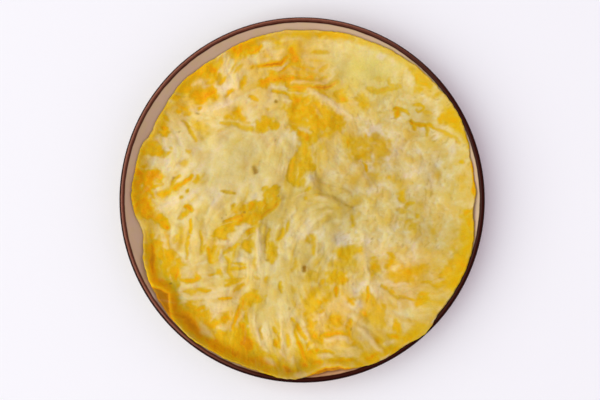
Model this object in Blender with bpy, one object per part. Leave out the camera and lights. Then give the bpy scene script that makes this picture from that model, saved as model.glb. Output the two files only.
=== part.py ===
"""A thin round omelette lying in a shallow coupe plate.

The plate is one turned piece of stoneware: a flat well, a wall that sweeps up in one arc, a rounded
lip and a foot ring. The omelette is one soft sheet of egg. It lies on the well, bends up along the
wall, and in places reaches the lip. Its edge is uneven, with one pleat where the sheet is pinched.

Metres, +Z up. The origin is the middle of the plate at the height of the foot ring's underside.
"""

import math

import bmesh
import bpy
from mathutils import Vector

# ---------------------------------------------------------------- driving dimensions: plate
PLATE_RADIUS = 0.130
WELL_RADIUS = 0.095  # the flat part of the floor
BODY_THICKNESS = 0.0044
LIP_THICKNESS = 0.0042
WALL_SLOPE = math.radians(57)  # how steep the wall is where it meets the lip
FOOT_RADIUS = 0.079  # the middle of the ring
FOOT_WIDTH = 0.007
FOOT_HEIGHT = 0.0026
FOOT_CHAMFER = 0.0012  # how far the ring's underside is narrower on each side
FOOT_CHAMFER_HEIGHT = 0.0008

PLATE_SEGMENTS = 80
WALL_STEPS = 6
LIP_STEPS = 6

# ---------------------------------------------------------------- driving dimensions: omelette
REST_GAP = 0.0003  # clearance between the egg and the glaze
MIDDLE_THICKNESS = 0.0033
RIM_THICKNESS = 0.0021
EDGE_THICKNESS = 0.0011
THINNING_STARTS = 0.45  # share of the way from the middle to the edge

OMELETTE_SEGMENTS = 144
TOP_SHARES = (0.09, 0.18, 0.27, 0.36, 0.45, 0.55, 0.65, 0.75, 0.84, 0.92, 0.97, 0.99)
# The underside's rings, from the end of the flat well (0) up the wall to the edge (1).
UNDER_SHARES = (0.0, 0.3, 0.6, 0.8, 0.91, 0.955, 1.0)

# The outline seen from above: (angle in degrees from +X towards +Y, distance from the middle in mm).
OUTLINE_MM = (
    (3, 124.0), (8, 123.4), (14, 124.4), (22, 126.6), (30, 127.4), (40, 126.4), (50, 124.8),
    (62, 123.6), (76, 121.8), (90, 120.7), (104, 120.0), (120, 118.5), (136, 118.5), (147, 116.9),
    (157, 116.8), (161, 118.5), (170, 118.8), (178, 120.6), (184, 119.4), (190, 116.6), (196, 117.0),
    (202, 120.0), (207, 123.7), (210, 123.6), (212, 121.2), (214, 119.2), (216.5, 121.7), (220, 124.4),
    (227, 125.5), (236, 126.5), (248, 126.2), (258, 126.6), (266, 127.6), (271, 126.6), (276, 122.4),
    (281, 121.2), (287, 124.4), (295, 127.0), (304, 127.6), (313, 128.8), (319, 126.4), (326, 125.4),
    (338, 126.3), (347, 125.6), (354, 122.9), (358, 122.4),
)

# Where the edge stands off the wall: (angle in degrees, lift in mm, half width in degrees).
EDGE_LIFTS_MM = ((206, 3.0, 6), (218, 1.6, 4), (279, 2.0, 6), (313, 0.6, 5), (357, 1.2, 6))
LIFT_REACH = 0.020  # how far in from the edge a lift fades out

# Soft ridges in the sheet: (start x, start y, end x, end y, height, half width), all in mm.
RIDGES_MM = (
    (-38, -20, 2, 7, 0.9, 7),
    (2, 7, 32, -6, 1.1, 6),
    (14, -6, -14, -34, 0.8, 6),
    (-31, -12, -30, -40, 0.7, 5),
    (-2, 10, 2, 38, 0.6, 7),
)

GLAZE_BEIGE = (0.62, 0.50, 0.38, 1.0)
EGG_YELLOW = (0.72, 0.52, 0.14, 1.0)

MM = 0.001


# ---------------------------------------------------------------- the plate's section
def plate_section():
    """Named places of the plate's section, as (radius, height) pairs and arc sizes."""
    lip_radius = LIP_THICKNESS / 2
    floor = FOOT_HEIGHT + BODY_THICKNESS
    lip_reach = lip_radius * (1 + math.sin(WALL_SLOPE))
    wall_end = PLATE_RADIUS - lip_reach
    wall_arc = (wall_end - WELL_RADIUS) / math.sin(WALL_SLOPE)
    lip_centre = (
        wall_end + lip_radius * math.sin(WALL_SLOPE),
        floor + wall_arc * (1 - math.cos(WALL_SLOPE)) - lip_radius * math.cos(WALL_SLOPE),
    )
    return {
        "floor": floor,
        "wall_end": wall_end,
        "wall_arc": wall_arc,
        "lip_radius": lip_radius,
        "lip_centre": lip_centre,
    }


SECTION = plate_section()


def on_plate(length):
    """The point and the normal of the plate's inner face this far along it from the middle."""
    arc, lip = SECTION["wall_arc"], SECTION["lip_radius"]
    if length <= WELL_RADIUS:
        return Vector((length, SECTION["floor"])), Vector((0, 1))
    turn = (length - WELL_RADIUS) / arc
    if turn <= WALL_SLOPE:
        normal = Vector((-math.sin(turn), math.cos(turn)))
        centre = Vector((WELL_RADIUS, SECTION["floor"] + arc))
        return centre - arc * normal, normal
    lean = WALL_SLOPE - (length - WELL_RADIUS - arc * WALL_SLOPE) / lip
    normal = Vector((-math.sin(lean), math.cos(lean)))
    return Vector(SECTION["lip_centre"]) + lip * normal, normal


def length_at(radius):
    """How far along the plate's inner face a point at this radius is."""
    arc = SECTION["wall_arc"]
    if radius <= WELL_RADIUS:
        return radius
    if radius <= SECTION["wall_end"]:
        return WELL_RADIUS + arc * math.asin((radius - WELL_RADIUS) / arc)
    lean = math.asin((SECTION["lip_centre"][0] - radius) / SECTION["lip_radius"])
    return WELL_RADIUS + arc * WALL_SLOPE + SECTION["lip_radius"] * (WALL_SLOPE - lean)


def plate_profile():
    """The closed section as (radius, height) points, from the middle of the well over the lip
    and back along the underside, round the foot ring."""
    arc, lip = SECTION["wall_arc"], SECTION["lip_radius"]
    points = [Vector((0, SECTION["floor"]))]
    for step in range(WALL_STEPS + 1):
        points.append(on_plate(WELL_RADIUS + arc * WALL_SLOPE * step / WALL_STEPS)[0])
    for step in range(1, LIP_STEPS + 1):
        lean = WALL_SLOPE - math.pi * step / LIP_STEPS
        normal = Vector((-math.sin(lean), math.cos(lean)))
        points.append(Vector(SECTION["lip_centre"]) + lip * normal)
    for step in range(WALL_STEPS - 1, -1, -1):
        share = step / WALL_STEPS
        face, normal = on_plate(WELL_RADIUS + arc * WALL_SLOPE * share)
        thickness = BODY_THICKNESS + (LIP_THICKNESS - BODY_THICKNESS) * share
        points.append(face - thickness * normal)
    outer, inner = FOOT_RADIUS + FOOT_WIDTH / 2, FOOT_RADIUS - FOOT_WIDTH / 2
    points += [
        Vector((outer, FOOT_HEIGHT)),
        Vector((outer, FOOT_CHAMFER_HEIGHT)),
        Vector((outer - FOOT_CHAMFER, 0)),
        Vector((inner + FOOT_CHAMFER, 0)),
        Vector((inner, FOOT_CHAMFER_HEIGHT)),
        Vector((inner, FOOT_HEIGHT)),
        Vector((0, FOOT_HEIGHT)),
    ]
    return points


# ---------------------------------------------------------------- the omelette's sheet
def outline(angle):
    """The sheet's radius at this angle in degrees: a smooth closed curve through OUTLINE_MM."""
    angle %= 360
    count = len(OUTLINE_MM)
    after = next((i for i, knot in enumerate(OUTLINE_MM) if knot[0] > angle), count)
    knots = []
    for i in range(after - 2, after + 2):
        turn, radius = OUTLINE_MM[i % count]
        knots.append((turn + 360 * (i // count), radius))
    (a0, r0), (a1, r1), (a2, r2), (a3, r3) = knots
    t = (angle - a1) / (a2 - a1)
    slope_1 = (r2 - r0) / (a2 - a0) * (a2 - a1)
    slope_2 = (r3 - r1) / (a3 - a1) * (a2 - a1)
    hermite = (
        (2 * t**3 - 3 * t**2 + 1) * r1
        + (t**3 - 2 * t**2 + t) * slope_1
        + (3 * t**2 - 2 * t**3) * r2
        + (t**3 - t**2) * slope_2
    )
    return hermite * MM


def smooth_step(value):
    value = max(0.0, min(1.0, value))
    return value * value * (3 - 2 * value)


def edge_lift(angle, inset):
    """How far the sheet stands off the wall at this angle, this far in from its edge."""
    fade = smooth_step(1 - inset / LIFT_REACH)
    lift = 0.0
    for middle, height, width in EDGE_LIFTS_MM:
        away = (angle - middle + 180) % 360 - 180
        lift += height * MM * math.exp(-((away / width) ** 2))
    return lift * fade


def ridge_height(x, y):
    """The height of the soft ridges at a point of the sheet."""
    height = 0.0
    for x0, y0, x1, y1, rise, width in RIDGES_MM:
        start, end = Vector((x0, y0)) * MM, Vector((x1, y1)) * MM
        along = (Vector((x, y)) - start).dot(end - start) / (end - start).length_squared
        nearest = start + (end - start) * max(0.0, min(1.0, along))
        distance = (Vector((x, y)) - nearest).length
        height = max(height, rise * MM * math.exp(-((distance / (width * MM)) ** 2)))
    return height


def sheet_point(angle, length, edge_length, above):
    """A point of the sheet, this far along the plate's face and this far above the sheet's underside."""
    point, normal = on_plate(length)
    stand_off = REST_GAP + edge_lift(angle, edge_length - length) + above
    point = point + normal * stand_off
    turn = math.radians(angle)
    return Vector((point.x * math.cos(turn), point.x * math.sin(turn), point.y))


def sheet_thickness(share):
    """The sheet's thickness this share of the way from its middle to its edge."""
    thin = smooth_step((share - THINNING_STARTS) / (1 - THINNING_STARTS))
    return MIDDLE_THICKNESS + (RIM_THICKNESS - MIDDLE_THICKNESS) * thin


def ring_of(shape, angles, point_at):
    """One closed ring of new vertices: point_at gives the place of each from its angle in degrees."""
    return [shape.verts.new(point_at(angle)) for angle in angles]


# ---------------------------------------------------------------- building
def material(name, colour, roughness):
    made = bpy.data.materials.new(name)
    made.use_nodes = True
    shader = made.node_tree.nodes["Principled BSDF"]
    shader.inputs["Base Color"].default_value = colour
    shader.inputs["Roughness"].default_value = roughness
    shader.inputs["Metallic"].default_value = 0.0
    return made


def add_object(name, mesh, finish, edge_angle):
    mesh.materials.append(finish)
    mesh.shade_smooth()
    mesh.set_sharp_from_angle(angle=math.radians(edge_angle))
    made = bpy.data.objects.new(name, mesh)
    bpy.context.scene.collection.objects.link(made)
    return made


def build_plate():
    """Turns the section once round the Z axis."""
    shape = bmesh.new()
    ring = [shape.verts.new((point.x, 0, point.y)) for point in plate_profile()]
    edges = [shape.edges.new(pair) for pair in zip(ring, ring[1:])]
    bmesh.ops.spin(
        shape,
        geom=ring + edges,
        cent=(0, 0, 0),
        axis=(0, 0, 1),
        angle=math.tau,
        steps=PLATE_SEGMENTS,
        use_merge=True,
    )
    bmesh.ops.remove_doubles(shape, verts=shape.verts, dist=1e-6)
    bmesh.ops.recalc_face_normals(shape, faces=shape.faces)
    mesh = bpy.data.meshes.new("plate")
    shape.to_mesh(mesh)
    shape.free()
    return add_object("plate", mesh, material("stoneware_glaze", GLAZE_BEIGE, 0.25), 35)


def bridge(shape, inner, outer):
    """Quads between two rings of the same count, facing up when outer is the wider one."""
    for i in range(len(inner)):
        after = (i + 1) % len(inner)
        shape.faces.new((inner[i], outer[i], outer[after], inner[after]))


def build_omelette():
    """Lofts the sheet from rings: over the top from the middle outwards, round the edge, and back under."""
    shape = bmesh.new()
    angles = [360 * i / OMELETTE_SEGMENTS for i in range(OMELETTE_SEGMENTS)]
    edge_lengths = {angle: length_at(outline(angle)) for angle in angles}

    def top_point(angle, share):
        edge_length = edge_lengths[angle]
        point = sheet_point(angle, edge_length * share, edge_length, sheet_thickness(share))
        point.z += ridge_height(point.x, point.y)
        return point

    def lip_point(angle):
        return sheet_point(angle, edge_lengths[angle], edge_lengths[angle], EDGE_THICKNESS)

    def under_point(angle, share):
        edge_length = edge_lengths[angle]
        length = WELL_RADIUS + (edge_length - WELL_RADIUS) * share
        return sheet_point(angle, length, edge_length, 0)

    rings = [ring_of(shape, angles, lambda angle: top_point(angle, share)) for share in TOP_SHARES]
    rings.append(ring_of(shape, angles, lip_point))
    for share in reversed(UNDER_SHARES):
        rings.append(ring_of(shape, angles, lambda angle: under_point(angle, share)))
    for inner, outer in zip(rings, rings[1:]):
        bridge(shape, inner, outer)

    crown = shape.verts.new(top_point(angles[0], 0))
    base = shape.verts.new((0, 0, SECTION["floor"] + REST_GAP))
    for i in range(OMELETTE_SEGMENTS):
        after = (i + 1) % OMELETTE_SEGMENTS
        shape.faces.new((crown, rings[0][i], rings[0][after]))
        shape.faces.new((base, rings[-1][after], rings[-1][i]))
    bmesh.ops.recalc_face_normals(shape, faces=shape.faces)
    mesh = bpy.data.meshes.new("omelette")
    shape.to_mesh(mesh)
    shape.free()
    return add_object("omelette", mesh, material("cooked_egg", EGG_YELLOW, 0.4), 60)


def main():
    for existing in list(bpy.data.objects):
        bpy.data.objects.remove(existing)
    build_plate()
    build_omelette()


main()
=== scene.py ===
"""A thin round omelette in the shallow stoneware plate that it is served on.

The plate and the sheet of egg are built round the CAD frame, one section each, and then the studio.
Metres, +Z up; the marbling of the egg is laid out in millimetres.
"""

import math

import bpy
import numpy as np
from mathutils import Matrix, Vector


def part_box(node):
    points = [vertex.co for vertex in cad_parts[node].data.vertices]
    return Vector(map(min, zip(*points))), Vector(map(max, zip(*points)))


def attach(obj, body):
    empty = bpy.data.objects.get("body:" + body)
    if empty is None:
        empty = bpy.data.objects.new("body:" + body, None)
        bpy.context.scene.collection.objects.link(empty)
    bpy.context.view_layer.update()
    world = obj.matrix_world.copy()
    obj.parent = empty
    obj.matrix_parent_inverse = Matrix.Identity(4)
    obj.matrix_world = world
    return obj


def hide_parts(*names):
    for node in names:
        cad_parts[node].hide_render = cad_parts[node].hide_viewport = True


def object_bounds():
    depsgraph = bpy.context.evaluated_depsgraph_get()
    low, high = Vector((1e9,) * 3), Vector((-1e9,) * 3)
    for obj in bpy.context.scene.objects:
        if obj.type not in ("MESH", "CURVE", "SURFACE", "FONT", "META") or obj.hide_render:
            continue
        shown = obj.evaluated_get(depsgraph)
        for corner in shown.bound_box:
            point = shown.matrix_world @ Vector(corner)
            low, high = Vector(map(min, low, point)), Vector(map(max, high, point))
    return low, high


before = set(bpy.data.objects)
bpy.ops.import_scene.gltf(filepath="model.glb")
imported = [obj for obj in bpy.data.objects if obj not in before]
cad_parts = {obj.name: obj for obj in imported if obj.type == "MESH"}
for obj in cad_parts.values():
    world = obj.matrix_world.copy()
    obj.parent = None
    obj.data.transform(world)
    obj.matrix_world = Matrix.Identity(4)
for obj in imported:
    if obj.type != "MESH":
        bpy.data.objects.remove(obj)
cad_low, cad_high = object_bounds()


# ---------------------------------------------------------------- the plate
# A coupe plate thrown in stoneware: a flat well, a wall that sweeps up in one arc, a rounded lip
# and a foot ring. It is dipped in a glossy beige glaze, the lip is banded in iron brown, and the
# foot ring is wiped bare before firing.

PLATE_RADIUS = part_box("plate")[1].x
PLATE_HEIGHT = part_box("plate")[1].z
WELL_RADIUS = 0.095
WELL_HEIGHT = 0.007
WALL_SLOPE = math.radians(57)  # where the wall meets the lip
WALL_THICKNESS = 0.0044
LIP_RADIUS = 0.0021
FOOT_RADIUS = 0.079  # the middle of the ring
FOOT_WIDTH = 0.007
FOOT_HEIGHT = 0.0026
FOOT_ROUNDING = 0.0010

LIP_MIDDLE = PLATE_RADIUS - LIP_RADIUS
LIP_LEVEL = PLATE_HEIGHT - LIP_RADIUS
WALL_END = LIP_MIDDLE - LIP_RADIUS * math.sin(WALL_SLOPE)
WALL_ARC = (WALL_END - WELL_RADIUS) / math.sin(WALL_SLOPE)

PLATE_SEGMENTS = 192
WELL_SHARES = (0.3, 0.6, 0.85)  # the rings in the flat well, from its middle to the foot of the wall
WALL_STEPS = 18
LIP_STEPS = 16
FOOT_STEPS = 5
START_RADIUS = WELL_RADIUS / 10  # the small disc that the plate is drawn out from

GLAZE_BEIGE = (0.67, 0.505, 0.335, 1)
GLAZE_THIN_AND_SHADOWED = (0.60, 0.43, 0.28, 1)  # where the glaze ran thin, and painted shade low on the wall beside the egg
GLAZE_MAUVE = (0.62, 0.43, 0.36, 1)
GLAZE_OLIVE = (0.60, 0.47, 0.26, 1)
IRON_BROWN = (0.036, 0.0030, 0.0006, 1)
IRON_BREAK_AND_HIGHLIGHT = (0.42, 0.155, 0.090, 1)  # where the band thins over the top of the lip, and a painted highlight on its lit far-left side
IRON_DARK_OUTSIDE = (0.020, 0.0026, 0.0010, 1)  # near black on the outside of the lip
GLAZE_OILY_AND_SHADED = (0.72, 0.38, 0.16, 1)  # on the near side under the egg: fat run down, and painted shade with egg-yellow light thrown back
BARE_CLAY = (0.42, 0.29, 0.20, 1)


def wall_point(share, thickness=0.0):
    """Radius and height on the wall, this share of the way up it and this deep under its inner face."""
    turn = WALL_SLOPE * share
    reach = WALL_ARC + thickness
    return (
        WELL_RADIUS + reach * math.sin(turn),
        WELL_HEIGHT + WALL_ARC - reach * math.cos(turn),
    )


def plate_rings():
    """Radius and height of each turned ring, from the well over the lip and back under the foot."""
    rings = [(WELL_RADIUS * share, WELL_HEIGHT) for share in WELL_SHARES]
    rings += [wall_point(step / WALL_STEPS) for step in range(WALL_STEPS + 1)]
    for step in range(1, LIP_STEPS + 1):
        lean = WALL_SLOPE - math.pi * step / LIP_STEPS
        rings.append((LIP_MIDDLE - LIP_RADIUS * math.sin(lean), LIP_LEVEL + LIP_RADIUS * math.cos(lean)))
    for step in range(WALL_STEPS - 1, -1, -1):
        share = step / WALL_STEPS
        rings.append(wall_point(share, WALL_THICKNESS + (2 * LIP_RADIUS - WALL_THICKNESS) * share))
    outer, inner = FOOT_RADIUS + FOOT_WIDTH / 2, FOOT_RADIUS - FOOT_WIDTH / 2
    rings.append((outer + FOOT_ROUNDING, FOOT_HEIGHT))
    rings.append((outer + FOOT_ROUNDING * 0.3, FOOT_HEIGHT - FOOT_ROUNDING * 0.3))
    for side, edge in ((1, outer), (-1, inner)):
        turns = [math.pi / 2 * step / FOOT_STEPS for step in range(FOOT_STEPS + 1)]
        for turn in turns if side > 0 else reversed(turns):
            inset = FOOT_ROUNDING * (1 - math.cos(turn))
            rings.append((edge - side * inset, FOOT_ROUNDING * (1 - math.sin(turn))))
    rings.append((inner, FOOT_HEIGHT))
    rings.append((inner / 2, FOOT_HEIGHT))
    return rings


def start_piece(name):
    """Takes the primitive that was just added as the piece to model, in edit mode, nothing selected."""
    piece = bpy.context.object
    piece.name = piece.data.name = name
    bpy.ops.object.mode_set(mode="EDIT")
    bpy.ops.mesh.select_mode(type="EDGE")
    bpy.ops.mesh.select_all(action="DESELECT")
    return piece


def pull_ring(ring, radius, height):
    """Extrudes the selected ring of edges and scales and lifts it to this radius and height."""
    bpy.ops.mesh.extrude_edges_indiv()
    stretch = radius / ring[0]
    bpy.ops.transform.resize(value=(stretch, stretch, 1), center_override=(0, 0, 0))
    bpy.ops.transform.translate(value=(0, 0, height - ring[1]))
    return radius, height


def close_piece(smooth_angle):
    """Draws the selected last ring together to a point, turns the faces outwards and shades them.

    Faces that meet at less than smooth_angle, in degrees, are shaded as one.
    """
    bpy.ops.mesh.extrude_edges_indiv()
    bpy.ops.mesh.merge(type="CENTER")
    bpy.ops.mesh.select_all(action="SELECT")
    bpy.ops.mesh.normals_make_consistent(inside=False)
    bpy.ops.object.mode_set(mode="OBJECT")
    bpy.ops.object.shade_smooth_by_angle(angle=math.radians(smooth_angle))


class Shade:
    """A number or a vector in a material's maths: arithmetic on it adds Math nodes."""

    def __init__(self, finish, socket):
        self.finish = finish
        self.socket = socket

    def maths(self, operation, *values):
        return self.finish.node("ShaderNodeMath", {"operation": operation}, dict(enumerate(values)))

    def __add__(self, other):
        return self.maths("ADD", self, other)

    def __sub__(self, other):
        return self.maths("SUBTRACT", self, other)

    def __rsub__(self, other):
        return self.maths("SUBTRACT", other, self)

    def __mul__(self, other):
        return self.maths("MULTIPLY", self, other)

    __radd__ = __add__
    __rmul__ = __mul__

    def fade(self, start, end):
        """0 at start, 1 at end, and smooth between them."""
        values = {"Value": self, "From Min": start, "From Max": end}
        return self.finish.node("ShaderNodeMapRange", {"interpolation_type": "SMOOTHSTEP"}, values)


class Finish:
    """A material under construction, round one Principled BSDF."""

    def __init__(self, name, **constants):
        self.material = bpy.data.materials.new(name)
        self.material.use_nodes = True
        self.tree = self.material.node_tree
        self.shader = self.tree.nodes["Principled BSDF"]
        for socket, value in constants.items():
            self.shader.inputs[socket.replace("_", " ")].default_value = value
        self.place = self.node("ShaderNodeTexCoord", output="Object")

    def node(self, kind, settings=None, inputs=None, output=0):
        """Adds a node: its settings first, then the values or links of its sockets."""
        made = self.tree.nodes.new(kind)
        for setting, value in (settings or {}).items():
            if setting == "stops":
                self.fill_ramp(made.color_ramp.elements, value)
            else:
                setattr(made, setting, value)
        for socket, value in (inputs or {}).items():
            if isinstance(value, Shade):
                self.tree.links.new(value.socket, made.inputs[socket])
            else:
                made.inputs[socket].default_value = value
        return Shade(self, made.outputs[output])

    def fill_ramp(self, elements, stops):
        while len(elements) < len(stops):
            elements.new(1)
        for element, (position, colour) in zip(elements, stops):
            element.position = position
            element.color = colour

    def noise(self, size, detail=2.0, stretch=(1, 1, 1), roughness=0.5):
        """Noise with features about this many metres across, around 0.5."""
        scaled = self.node("ShaderNodeMapping", None, {"Vector": self.place, "Scale": stretch})
        values = {"Vector": scaled, "Scale": 1 / size, "Detail": detail, "Roughness": roughness}
        return self.node("ShaderNodeTexNoise", None, values, output="Fac")

    def mix(self, share, first, second):
        """The first colour where share is 0, the second where it is 1."""
        named = {"Factor": share, 6: first, 7: second}
        return self.node("ShaderNodeMix", {"data_type": "RGBA"}, named, output=2)

    def bump(self, height, distance, under=None):
        """A Bump node for a height field whose 1 stands this many metres proud, over another bump."""
        values = {"Height": height, "Distance": distance, "Strength": 1.0}
        if under:
            values["Normal"] = under
        return self.node("ShaderNodeBump", None, values, output="Normal")

    def attribute(self, name):
        return self.node("ShaderNodeAttribute", {"attribute_name": name}, output="Fac")

    def feed(self, socket, value):
        self.tree.links.new(value.socket, self.shader.inputs[socket])


bpy.ops.object.select_all(action="DESELECT")
bpy.ops.mesh.primitive_circle_add(
    vertices=PLATE_SEGMENTS,
    radius=START_RADIUS,
    fill_type="TRIFAN",
    location=(0, 0, WELL_HEIGHT),
)
bpy.ops.object.transform_apply()
plate_body = start_piece("plate_body")
bpy.ops.mesh.select_non_manifold()
ring = (START_RADIUS, WELL_HEIGHT)
for radius, height in plate_rings():
    ring = pull_ring(ring, radius, height)
close_piece(smooth_angle=35)

glaze = Finish("beige_stoneware", IOR=1.5, Specular_IOR_Level=0.08, Coat_Roughness=0.12)
x, y, z = (
    glaze.node("ShaderNodeSeparateXYZ", None, {"Vector": glaze.place}, output=axis) for axis in range(3)
)
squared = x * x + y * y
radius = squared.maths("SQRT", squared)
clouds = glaze.noise(0.035, 3)
mottled = glaze.noise(0.007, 3)
grain = glaze.noise(0.0009, 3)
body = glaze.mix(clouds.fade(0.35, 0.68) * 0.7 + grain * 0.2, GLAZE_BEIGE, GLAZE_THIN_AND_SHADOWED)
body = glaze.mix(mottled.fade(0.42, 0.62) * 0.22, body, GLAZE_MAUVE)
body = glaze.mix((1 - mottled).fade(0.44, 0.64) * 0.4, body, GLAZE_OLIVE)
# Painted shade: the glaze is darkened below the lip, low on the wall where the egg's edge shades it.
painted_shade_low_on_wall = 1 - radius.fade(0.118, 0.1255)
body = glaze.mix(painted_shade_low_on_wall * 0.8, body, GLAZE_THIN_AND_SHADOWED)
# On the near side the wall is tinted orange-brown: fat run down from the egg, and painted shade and
# egg-yellow bounce light under its edge.
near_side = 1 - y.fade(-0.124, -0.114)
body = glaze.mix(near_side * 0.85, body, GLAZE_OILY_AND_SHADED)

# The band starts in a slightly uneven line. Over the lip's slope and crest it is lightened a little where
# it thins and most on the far left, a painted highlight from the window. Outside the lip it is near
# black.
band = (radius + glaze.noise(0.008, 2) * 0.0006).fade(0.1260, 0.1267)
lip = radius - y * 0.0035 + glaze.noise(0.004, 3) * 0.0008 - 0.0004
lip_slope = lip.fade(0.1260, 0.1270)
lip_crest = lip.fade(0.1272, 0.1281)
lip_outside = lip.fade(0.1284, 0.1291)
lit_far_left = (y * 0.6 - x).fade(-0.07, 0.06)
on_top = z.fade(LIP_LEVEL - 0.0006, LIP_LEVEL)
# Painted highlight: most of this lightening lies on the lip's far left, where the window would shine on
# it.
break_and_highlight = (lip_slope * 0.35 + lip_crest * 0.65) * (1 - lip_outside)
break_and_highlight = break_and_highlight * (0.02 + 0.78 * lit_far_left) * on_top
iron = glaze.mix(break_and_highlight * (0.45 + 0.65 * grain), IRON_BROWN, IRON_BREAK_AND_HIGHLIGHT)
iron = glaze.mix(lip.fade(0.1285, 0.1291), iron, IRON_DARK_OUTSIDE)
coat = glaze.mix(band, body, iron)

bare = 1 - z.fade(0.0008, 0.0012)  # the standing face of the foot ring
gloss = 0.30 - band * 0.17 - lip.fade(0.1284, 0.1290) * 0.13
glaze.feed("Base Color", glaze.mix(bare, coat, BARE_CLAY))
glaze.feed("Roughness", bare.fade(0, 1) * 0.5 + 0.30 + grain * 0.08)
glaze.feed("Coat Weight", (1 - bare) * gloss)
rings_thrown = glaze.node(
    "ShaderNodeTexWave",
    {"wave_type": "RINGS", "rings_direction": "Z"},
    {"Vector": glaze.place, "Scale": 90.0, "Distortion": 1.5, "Detail": 1.0},
    output="Fac",
)
ripple = glaze.bump(glaze.noise(0.006, 2), 0.00015)
glaze.feed("Normal", glaze.bump(rings_thrown, 0.00004, ripple))
plate_body.data.materials.append(glaze.material)
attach(plate_body, "root")
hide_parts("plate")


# ---------------------------------------------------------------- the omelette
# One thin sheet of egg, fried flat with its yolk and white half beaten together and slid onto the
# plate. The white set first, in pale strands that stand a little proud, with the yolk in sunken
# pools between them. The sheet bends up along the plate's wall, and its edge is fried and curled.

SHEET_CELLS = 288
MIDDLE_THICKNESS = 3.3  # millimetres, as everything on the canvas below
RIM_THICKNESS = 2.1
REST_GAP = 0.3
EDGE_THICKNESS = 1.5
EDGE_TAPER = 5
EDGE_ROUNDING = 1.2
LIFT_REACH = 20  # how far in from its edge the sheet is lifted off the wall
LEAST_THICKNESS = 0.25

# The canvas: a square of cells over the plate, on which the sheet's height and marbling are worked out.
CANVAS_HALF = 134
CELL = 0.5
across = np.arange(-CANVAS_HALF, CANVAS_HALF + CELL, CELL)
x_at, y_at = np.meshgrid(across, across, indexing="ij")
turn_at = np.degrees(np.arctan2(y_at, x_at)) % 360
radius_at = np.hypot(x_at, y_at)
luck = np.random.default_rng(11)


def smooth(value):
    """0 below 0, 1 above 1, and an even S between them."""
    value = np.clip(value, 0, 1)
    return value * value * (3 - 2 * value)


def bell(value, middle, reach):
    """1 where the value is in the middle, falling away on both sides over this reach."""
    return np.exp(-(((value - middle) / reach) ** 2))


def patch(x, y, spread):
    """1 at this place of the canvas, falling away round it over this many millimetres."""
    return np.exp(-((x_at - x) ** 2 + (y_at - y) ** 2) / (2 * spread**2))


def at_turn(radius, turn):
    """The x and y of a place this far out, this many degrees from +X towards +Y."""
    return radius * np.cos(np.radians(turn)), radius * np.sin(np.radians(turn))


def read(field, x, y):
    """The field's value at places given in millimetres, blended between the cells."""
    column = np.clip((x + CANVAS_HALF) / CELL, 0, len(across) - 1.001)
    row = np.clip((y + CANVAS_HALF) / CELL, 0, len(across) - 1.001)
    i, j = column.astype(int), row.astype(int)
    u, v = column - i, row - j
    near = field[i, j] * (1 - v) + field[i, j + 1] * v
    far = field[i + 1, j] * (1 - v) + field[i + 1, j + 1] * v
    return near * (1 - u) + far * u


def blurred(field, spread):
    """The field softened over this many millimetres."""
    waves = np.fft.fftfreq(len(across), CELL)
    damping = np.exp(-2 * (math.pi * waves * spread) ** 2)
    return np.fft.ifft2(np.fft.fft2(field) * np.outer(damping, damping)).real


def cloud(blob):
    """A random field of mean 0 and spread 1, its blobs about this many millimetres across."""
    field = blurred(luck.standard_normal(x_at.shape), blob / 3.5)
    return field / field.std()


# How the strands lie: at each place (x, y) they run at this angle, in degrees from +X towards +Y.
LIE = (
    (-90, 10, 32), (-85, 50, 125), (-60, 92, 65), (-70, 76, 5), (-20, 88, 10), (5, 82, 0),
    (20, 70, 150), (60, 95, 20), (58, 79, 5), (86, 83, 140), (85, 55, 172), (102, 58, 50),
    (-2, 22, 80), (18, 5, 160), (12, -15, 42), (-55, -21, 27), (-75, -25, 90), (-30, -30, 88),
    (-52, -46, 95), (-64, -55, 8), (-82, -66, 4), (-58, -72, 0), (-45, -84, 68), (-27, -98, 108),
    (-4, -96, 112), (45, -100, 135), (25, -107, 2), (46, -42, 88), (76, -54, 5), (84, -78, 170),
    (80, -10, 85), (75, 30, 80), (108, 10, 88), (-108, -40, 100), (-78, -88, 130), (-50, 20, 75),
    (-110, 30, 75), (-45, 60, 25), (45, 40, 110), (100, -50, 50),
)
LIE_SPREAD = 14
LIE_FLOOR = 1e-5  # so that no place is left without a direction
lie = 0
for x, y, turn in LIE:
    weight = patch(x, y, LIE_SPREAD) + LIE_FLOOR
    lie = lie + weight * np.exp(2j * math.radians(turn))


COMB_STRIDE = 0.8


def combed(field, reach):
    """The field drawn out this many millimetres each way along the strands, spread 1."""
    total = field.copy()
    for way in (1, -1):
        x, y = x_at.copy(), y_at.copy()
        heading = way * np.exp(0.5j * np.angle(lie))
        for _ in range(round(reach / COMB_STRIDE)):
            x += COMB_STRIDE * heading.real
            y += COMB_STRIDE * heading.imag
            total += read(field, x, y)
            ahead = np.exp(0.5j * np.angle(read(lie, x, y)))
            heading = np.where((ahead * heading.conj()).real < 0, -ahead, ahead)
    return (total - total.mean()) / total.std()


# Grain for the marbling, and a slight drift that makes every drawn line and outline uneven.
fine_strands = combed(cloud(1.7), 5)
broad_strands = combed(cloud(4.5), 10)
pebbles = cloud(2.6)
ripples = cloud(7)
x_drift = x_at + 0.5 * cloud(8) + 0.22 * cloud(2.6)
y_drift = y_at + 0.5 * cloud(8) + 0.22 * cloud(2.6)
tatters = 0.7 * cloud(3) + 0.5 * cloud(6)


def rounded(points, closed=False):
    """The line through points given as x, y, x, y and so on, its corners cut twice."""
    line = np.array(points, float).reshape(-1, 2)
    for _ in range(2):
        here = line if closed else line[:-1]
        ahead = np.roll(line, -1, 0) if closed else line[1:]
        cut = np.stack([0.75 * here + 0.25 * ahead, 0.25 * here + 0.75 * ahead], 1).reshape(-1, 2)
        line = cut if closed else np.vstack([line[:1], cut, line[-1:]])
    return np.vstack([line, line[:1]]) if closed else line


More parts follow.
